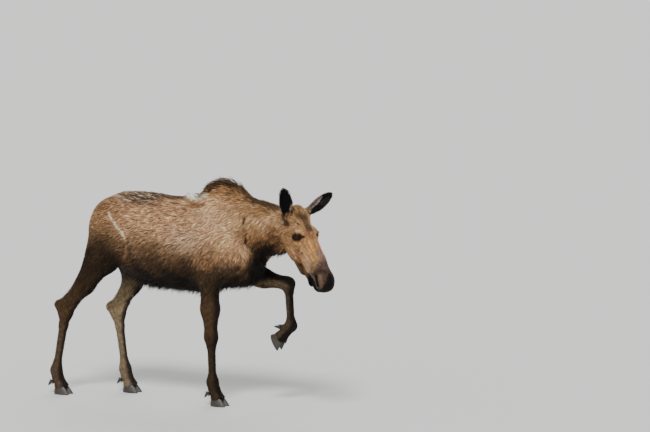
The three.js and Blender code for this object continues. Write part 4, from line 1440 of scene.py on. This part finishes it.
class Locks:
    """All the locks of one style: their vertices, lock by lock, and what each vertex carries."""

    def __init__(self, roots, style):
        self.roots = roots
        self.coat = Coat(roots, slope_of(roots, 1.5), SHOWN_AT)
        self.luck = rng.normal(size=len(roots))
        self.set_measures()
        self.set_vertices(style)
        self.set_colour()
        length, width, luck = (v[:, None] for v in (self.length, self.width, self.luck))
        back, side = self.along.T
        apart = np.broadcast_to(91 * luck, (len(roots), len(back)))
        self.strand = np.stack([side * width / 2 + 37 * luck, back * length * 0.1, apart], -1)
        self.wet = np.broadcast_to(wetness(self.coat)[:, None], apart.shape)
        self.spot = 0.003 * np.stack([side / 2, back], -1)

    def set_measures(self):
        """The length, width, rise and droop of each lock, and the way it lies and tilts."""
        coat, roots, count = self.coat, self.roots, len(self.roots)
        self.length = coat.length * rng.uniform(0.75, 1.25, count)
        self.width = coat.width * rng.uniform(0.75, 1.2, count)
        rise = coat.depth * rng.uniform(0.72, 1.08, count)
        shaggy = np.clip(coat.crest + coat.rough, 0, 1)
        rise *= 1 + shaggy * rng.uniform(-0.3, 0.45, count)
        uneven = 0.3 + 0.55 * ripple(roots, 30, 7)
        rise *= 1 + coat.fringe * (uneven + rng.uniform(-0.4, 0.4, count))
        rise *= 1 + 1.2 * STANDING_TUFT(roots) + STANDING_MANE(roots) * rng.uniform(-0.1, 0.5, count)
        self.rise = rise
        hang = rng.uniform(0.05, 0.6, count) + 0.3 * np.maximum(0, ripple(roots, 30, 14))
        self.droop = coat.fringe * self.length * hang
        self.lie = turned(coat.lie, coat.normal, rng.normal(0, 0.13, count))
        self.tilt = rng.normal(0, 0.3, count)

    def set_vertices(self, style):
        """Three-sided rings from the root, over the skin along the lie of the coat, to the point."""
        place, normal, lie, done = self.roots, self.coat.normal, self.lie, 0
        rings, along = [], []
        for stop, lift, breadth in zip(style["stops"], style["lifts"], (*style["widths"], 0)):
            if stop > 0:
                place = place + lie * (self.length * (stop - done))[:, None]
                slope = slope_of(place, 2.0)
                steepness = np.maximum((slope * slope).sum(1), 0.2)
                place = place - slope * np.clip(in_chunks(skin, place) / steepness, -14, 14)[:, None]
                normal = unit(slope)
                lie = unit(lie - normal * (lie * normal).sum(1, keepdims=True))
                done = stop
            height = self.rise * lift - (ROOT_DEPTH if stop == 0 else 0)
            centre = place + normal * height[:, None] - (self.droop * stop**2)[:, None] * vec((0, 0, 1))
            across, tilt = np.cross(normal, lie), self.tilt[:, None]
            side = across * np.cos(tilt) + normal * np.sin(tilt)
            out = np.cross(lie, side)
            half = (self.width * breadth / 2)[:, None]
            ring = [centre - side * half, centre + side * half, centre + out * half * 0.7]
            rings += ring if breadth else [centre]
            along += [(stop, -1), (stop, 1), (stop, 0)] if breadth else [(stop, 0)]
        self.vertices = np.stack(rings, 1)
        self.faces = lock_faces(len(style["widths"]))
        self.along = vec(along)  # for each vertex, how far along the lock and to which side

    def set_colour(self):
        """Each lock has a tone of its own, and is darker at its root. Some are silvery or grey."""
        coat, count, size = self.coat, len(self.roots), len(self.along)
        flecks = ripple(strands_on(coat, 0.5), 22, 8) + 0.6 * ripple(strands_on(coat, 0.3), 13, 13)
        tone = np.exp(0.26 * self.luck + 0.1 * ripple(self.roots, 70, 6) + 0.3 * flecks)
        silver = coat.by_part({"torso": 1.0, "hump": 0.6, "shoulders": 0.5}, 0.0)[:, 0]
        bright = rng.random(count) < 0.2 * silver
        tone = tone * np.where(bright, 1.4, 1)
        streaks = ease(0.25, 0.7, ripple(strands_on(coat, 0.6), 24, 15) + rng.normal(0, 0.45, count))
        base = mix(coat.colour, shade(*GREY_WHITE), (0.6 * streaks * coat.rough)[:, None])
        fade = mix(0.72, 1.14, self.along[:, 0])
        marked = finely_marked(np.repeat(base, size, 0), self.vertices.reshape(-1, 3))
        self.colour = marked.reshape(count, size, 3) * (tone[:, None] * fade)[..., None]


REGIONS = ["rump", "flank", "shoulder", "neck"]
REGION_ENDS = (-650, -150, 330)  # how far forward each region but the last one reaches


def body_unwrap(p, middle_left):
    """Forward along the body, and round it from the top."""
    middle_up = np.interp(p[:, 0], (-1100, 170, 700), (1250, 1300, 1420))
    return np.stack([p[:, 0], np.abs(np.arctan2(p[:, 1] - middle_left, p[:, 2] - middle_up))], 1)


def leg_unwrap(leg, p):
    """Up the leg, and round it."""
    top, bottom = leg.line[0, 2], leg.line[-1, 2]
    height = np.clip(p[:, 2], min(top, bottom) - 80, max(top, bottom) + 80)
    order = np.argsort(leg.line[:, 2])
    line_forward = np.interp(height, leg.line[order, 2], leg.line[order, 0])
    around = np.arctan2(p[:, 1] - leg.line[1, 1], p[:, 0] - line_forward)
    return np.stack([p[:, 2] - 0.6 * p[:, 0] * leg.raised, around], 1)


def regions(coat):
    """The name of the coat piece that each root belongs to, and its place on an unwrap of the skin."""
    p, q = coat.p, coat.q
    middle_left = np.interp(p[:, 0], (170, 690), (0, -108))
    names = np.array(REGIONS)[np.searchsorted(REGION_ENDS, p[:, 0])]
    sides = np.where(p[:, 1] > middle_left, "left", "right")
    names = np.char.add(np.char.add(names, "_"), sides).astype("<U32")
    unwrap = body_unwrap(p, middle_left)
    on_ear = np.maximum(*[on["share"] for on in coat.ears]) > 0.5
    on_head = (coat.on_head > 0.5) | on_ear
    names[on_head] = np.where(q[on_head, 1] > 0, "head_left", "head_right")
    head_unwrap = np.stack([q[:, 0], np.abs(np.arctan2(q[:, 1], q[:, 2] + 90)) * 200], 1)
    unwrap[on_head] = head_unwrap[on_head]
    for on in coat.ears:
        here = on["share"] > 0.5
        spread = 320 * on["inside"] + 150 * (on["across"] + 1)
        ear_unwrap = np.stack([-120 - on["ear"].length * (1 - on["along"]), spread], 1)
        unwrap[here] = ear_unwrap[here]
    for leg in ALL_LEGS:
        here = coat.share[:, PARTS.index(leg.name)] > 0.5
        names[here] = leg.name
        unwrap[here] = leg_unwrap(leg, p)[here]
    return names, unwrap


def coat_mesh(name, picks, unwrap_range):
    """One mesh from the locks of each style that belong to a piece."""
    low, high = unwrap_range
    rows = {}
    start = 0
    for locks, mine, unwrap in picks:
        count, size = int(mine.sum()), locks.vertices.shape[1]
        offsets = start + np.arange(count)[:, None, None] * size
        root_uv = 0.004 + 0.99 * (unwrap[mine] - low) / (high - low)
        found = {
            "vertices": in_row(locks.vertices[mine]),
            "faces": offsets + locks.faces,
            "colour": locks.colour[mine],
            "strand": locks.strand[mine],
            "wet": locks.wet[mine][..., None],
            "uv": root_uv[:, None] + locks.spot,
        }
        for key, values in found.items():
            rows.setdefault(key, []).append(values.reshape(-1, values.shape[-1]))
        start += count * size
    joined = {key: np.concatenate(values) for key, values in rows.items()}
    mesh = mesh_of(name, joined["vertices"], joined["faces"])
    set_attribute(mesh, "hair", "FLOAT_COLOR", opaque(joined["colour"]))
    set_attribute(mesh, "strand", "FLOAT_VECTOR", joined["strand"])
    set_attribute(mesh, "wet", "FLOAT", joined["wet"])
    layer = mesh.uv_layers.new(name="OFBake")
    layer.data.foreach_set("uv", vec(np.clip(joined["uv"], 0, 1))[joined["faces"].ravel()].ravel())
    return mesh


def build_coat(p, triangles, coat):
    """Locks of both styles over the skin, in one piece for each region."""
    is_long = coat.length > LONG_FROM
    scale = 1
    sets = []
    for style, wanted in ((LONG, is_long), (SHORT, ~is_long)):
        roots = grow(p, triangles, coat, int(style["count"] * scale), wanted)
        locks = Locks(roots, style)
        sets.append((locks, *regions(locks.coat)))
    for name in sorted(set(np.concatenate([names for _, names, _ in sets]))):
        spread = np.concatenate([unwrap[names == name] for _, names, unwrap in sets])
        picks = [(locks, names == name, unwrap) for locks, names, unwrap in sets]
        mesh = coat_mesh(f"coat_{name}", picks, (spread.min(0), spread.max(0)))
        add_piece(mesh, HAIR)


# ------------------------------------------------------------------------------------------------
# Eyes, hooves and dewclaws
# ------------------------------------------------------------------------------------------------


def rings_mesh(name, rings):
    """A closed smooth mesh through rings of places, from its first ring's middle to its last one's."""
    rings = vec(rings)
    count, sides = rings.shape[:2]
    vertices = np.concatenate([rings.reshape(-1, 3), rings[0].mean(0)[None], rings[-1].mean(0)[None]])
    faces = wall_faces(count, sides)
    last = (count - 1) * sides
    for n in range(sides):
        after = (n + 1) % sides
        faces += [(after, n, count * sides), (last + n, last + after, count * sides + 1)]
    return mesh_of(name, in_row(vertices), np.array(faces))


IRIS, WHITE_OF_EYE, PUPIL = shade(56, 38, 26), shade(20, 14, 10), shade(3, 3, 4)
EYE_ENDS = [shade(6, 6, 9), shade(40, 30, 24)]  # the middle of the cornea, and the back of the ball
PUPIL_HALF = (7.5, 4.4)  # mm along the lids and across them
LASH = {"count": 52, "length": 13, "radius": 0.55, "bend": 6, "colour": shade(20, 14, 10)}


def eye_axes(turn):
    """Out of the eye, along its lids and up across them, in body axes."""
    return [turn(axis) @ HEAD_AXES for axis in (EYE_OUT, SLIT, LID_UP)]


def build_eye(name, turn):
    """A ball with a bulging cornea, a brown iris and a level oval pupil."""
    out, slit, up = eye_axes(turn)
    rings, tints = [], []
    sides, steps = 56, 44
    around = np.linspace(0, 2 * math.pi, sides, endpoint=False)
    for step in range(1, steps):
        angle = math.pi * step / steps
        bulge = 1.2 * math.exp(-((angle / 0.55) ** 4))
        radius = EYE["radius"] - 0.3 + bulge
        x = radius * math.sin(angle) * np.cos(around)
        y = radius * math.sin(angle) * np.sin(around)
        ring = EYE_CENTRES[name] + x[:, None] * slit + y[:, None] * up + radius * math.cos(angle) * out
        rings.append(ring)
        pupil = ease(1.12, 0.92, np.hypot(x / PUPIL_HALF[0], y / PUPIL_HALF[1]))[:, None]
        white = ease(13.5, 15.5, np.full(sides, radius * math.sin(angle)))[:, None]
        tints.append(mix(mix(IRIS, WHITE_OF_EYE, white), PUPIL, pupil))
    mesh = rings_mesh(name + "_ball", rings)
    set_attribute(mesh, "hair", "FLOAT_COLOR", opaque(np.concatenate([*tints, EYE_ENDS])))
    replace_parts(add_piece(mesh, EYE_FINISH), name)


def build_lashes(name, turn):
    """Dark lashes along the upper lid, standing out of it and bent down."""
    out, slit, up = eye_axes(turn)
    shell = EYE["radius"] + 3
    vertices, faces = [], []
    for n, t in enumerate(np.linspace(-0.86, 0.86, LASH["count"])):
        x, y = LID_LENGTH * t, LID_HEIGHT * (1 - t * t) + 1
        root = EYE_CENTRES[name] + x * slit + y * up + math.sqrt(shell**2 - x * x - y * y) * out
        way = unit(out + 0.45 * up + (0.5 * t + 0.16 * math.sin(7.0 * n)) * slit)
        length = LASH["length"] + 2.5 * math.sin(4.1 * n)
        side = unit(np.cross(way, up))
        above = np.cross(side, way)
        for stop, radius in ((-0.1, LASH["radius"]), (0.5, 0.4)):
            place = root + way * length * stop - up * stop**2 * 2
            vertices += [place - side * radius, place + side * radius, place + above * radius]
        vertices.append(root + way * length - up * LASH["bend"])
        faces.append(lock_faces(2) + 7 * n)
    mesh = mesh_of(name + "_lashes", in_row(vertices), np.concatenate(faces))
    set_attribute(mesh, "hair", "FLOAT_COLOR", opaque(np.tile(LASH["colour"], (len(vertices), 1))))
    set_attribute(mesh, "strand", "FLOAT_VECTOR", vec(vertices))
    add_piece(mesh, HAIR)


def toe_rings(foot, half):
    """One toe's horn, from its flat sole up to the slanting coronet, with growth ridges round its wall."""
    sides, heights = 40, 30
    length, width = FOOT["sole_length"], FOOT["toe_width"]
    heel, front = -0.46 * length, 0.54 * length
    turn = math.radians(half * FOOT["toe_turn"])
    c, s = math.cos(turn), math.sin(turn)
    coronet = FOOT["coronet"]
    angle = np.linspace(0, 2 * math.pi, sides, endpoint=False)
    along = (1 - np.cos(angle)) / 2

    def outline(back, tip, half_width, height):
        """A ring round the toe. height is in mm, and the share of the way from there to the coronet."""
        x = mix(back, tip, along)
        y = half_width * np.sin(angle) * mix(1, 0.72, np.maximum(0, along * 2 - 1))
        forward = x * c - y * s
        sideways = half * FOOT["toe_spread"] + x * s + y * c
        top = coronet[2] + (forward - coronet[0]) * FOOT["coronet_slope"] - 0.3
        return foot.place(np.stack([forward, sideways, mix(height[0], top, height[1])], 1))

    wall = width / 2
    rings = [
        outline(heel + 16, front - 20, wall - 11, (2.5, 0)),  # the sole is hollow
        outline(heel + 7, front - 9, wall - 5, (0, 0)),
        outline(heel, front, wall - 1, (0, 0)),
        outline(heel - 3, front + 0.5, wall + 0.6, (2.5, 0)),
    ]
    for n in range(heights):
        t = n / (heights - 1)
        ridge = 0.7 * math.sin(t * 2 * math.pi * 7) * (1 - t) - 0.7
        rings.append(
            outline(heel - 4 + 2 * t - ridge, front - 3 - 49 * t + ridge, wall + 1 - 5 * t + ridge, (7, t))
        )
    return rings


def dewclaw_rings(foot, half):
    """A small blunt claw, curved back and down."""
    turn = vec((1, half, 1))
    root = foot.place(vec(FOOT["dewclaw_root"]) * turn)
    tip = foot.place(vec(FOOT["dewclaw_tip"]) * turn)
    way = unit(tip - root)
    length = norm(tip - root)
    across = unit(np.cross(way, foot.place((1, 0, 0)) - foot.place((0, 0, 0))))
    up = np.cross(across, way)
    angle = np.linspace(0, 2 * math.pi, 24, endpoint=False)[:, None]
    rings = []
    for t in np.linspace(0, 1, 16):
        radius = FOOT["dewclaw_width"] / 2 * mix(1, 0.34, t) * math.sqrt(max(0.02, 1 - t**6))
        radius += 0.35 * math.sin(t * 30)
        rings.append(root + way * length * t + radius * (np.cos(angle) * across + np.sin(angle) * up))
    return rings


def build_horn(leg):
    """A leg's two hooves and two dewclaws."""
    for label, half in (("inner", -leg.side), ("outer", leg.side)):
        for kind, rings in (("hoof", toe_rings(leg.foot, half)), ("dewclaw", dewclaw_rings(leg.foot, half))):
            name = f"{leg.name}_{kind}_{label}"
            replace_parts(add_piece(rings_mesh(name + "_horn", rings), HORN), name)


# ------------------------------------------------------------------------------------------------
# The studio
# ------------------------------------------------------------------------------------------------

# The camera stands far off, to the animal's right and a little ahead of it, with a long lens.
CAMERA_WAY = (-0.891, -0.454)  # level, from the animal towards the camera
CAMERA_RISE = 8.63  # degrees
CAMERA_DISTANCE = 100
CAMERA_LENS, CAMERA_SENSOR = 720, 36  # mm
CAMERA_AIM = (0.8138, 1.4415)  # to the right and up in the picture from the animal's origin, in metres

# Soft suns: azimuth and elevation, strength, and how wide they are. Azimuth 0 shines along +Y, 90 along -X.
SUNS = {"key": (290, 48, 3.4, 16), "fill": (110, 40, 1.1, 40)}
SKY_LIGHT, SKY_SEEN = 0.62, 0.95  # the strength of the sky on the animal, and as the camera sees it
FLOOR_RADIUS, FLOOR_DROP = 80, 0.0005  # metres


def point(obj, way):
    """Turns a camera or light to face the given way."""
    obj.rotation_mode = "QUATERNION"
    obj.rotation_quaternion = Vector(way).to_track_quat("-Z", "Y")


def build_camera():
    """A long lens, out along CAMERA_WAY and raised by CAMERA_RISE."""
    rise = math.radians(CAMERA_RISE)
    level = Vector((*CAMERA_WAY, 0)).normalized()
    back = level * math.cos(rise) + Vector((0, 0, math.sin(rise)))
    right = Vector((-level.y, level.x, 0))
    up = back.cross(right)
    camera = put("camera", bpy.data.cameras.new("camera"))
    camera.data.lens = CAMERA_LENS
    camera.data.sensor_width = CAMERA_SENSOR
    camera.data.clip_start = 1
    camera.data.clip_end = 4 * CAMERA_DISTANCE
    origin = Vector([float(v) for v in SHIFT])
    camera.location = origin + right * CAMERA_AIM[0] + up * CAMERA_AIM[1] + back * CAMERA_DISTANCE
    point(camera, -back)
    bpy.context.scene.camera = camera


def build_light(name, azimuth, elevation, energy, spread):
    """A sun with soft shadows."""
    a, e = math.radians(azimuth), math.radians(elevation)
    toward = Vector((math.sin(a) * math.cos(e), -math.cos(a) * math.cos(e), math.sin(e)))
    light = put(name, bpy.data.lights.new(name, "SUN"))
    light.data.energy = energy
    light.data.angle = math.radians(spread)
    point(light, -toward)


def build_world():
    """An even white sky, brighter as the camera sees it than as it lights the animal."""
    world = bpy.data.worlds.new("studio")
    bpy.context.scene.world = world
    world.use_nodes = True
    tree = world.node_tree
    background = tree.nodes["Background"]
    background.inputs["Color"].default_value = (1, 1, 1, 1)
    ray = add_node(tree, "ShaderNodeLightPath")
    strength = add_node(tree, "ShaderNodeMapRange", To_Min=SKY_LIGHT, To_Max=SKY_SEEN)
    join(tree, (ray, "Is Camera Ray", strength, "Value"), (strength, "Result", background, "Strength"))


def build_floor():
    """A plain pale floor."""
    material, _, shader = new_material("floor")
    shader.inputs["Base Color"].default_value = (0.62, 0.62, 0.61, 1)
    shader.inputs["Roughness"].default_value = 0.9
    mesh = bpy.data.meshes.new("floor")
    bm = bmesh.new()
    bmesh.ops.create_circle(bm, cap_ends=True, radius=FLOOR_RADIUS, segments=96)
    bm.to_mesh(mesh)
    bm.free()
    mesh.materials.append(material)
    floor = put("floor", mesh)
    floor.location.z = -FLOOR_DROP


build_camera()
build_world()
build_floor()
for sun, setting in SUNS.items():
    build_light(sun, *setting)
for eye, turn in (("eye_left", vec), ("eye_right", mirrored)):
    build_eye(eye, turn)
    build_lashes(eye, turn)
for leg in ALL_LEGS:
    build_horn(leg)
build_coat(*build_skin())
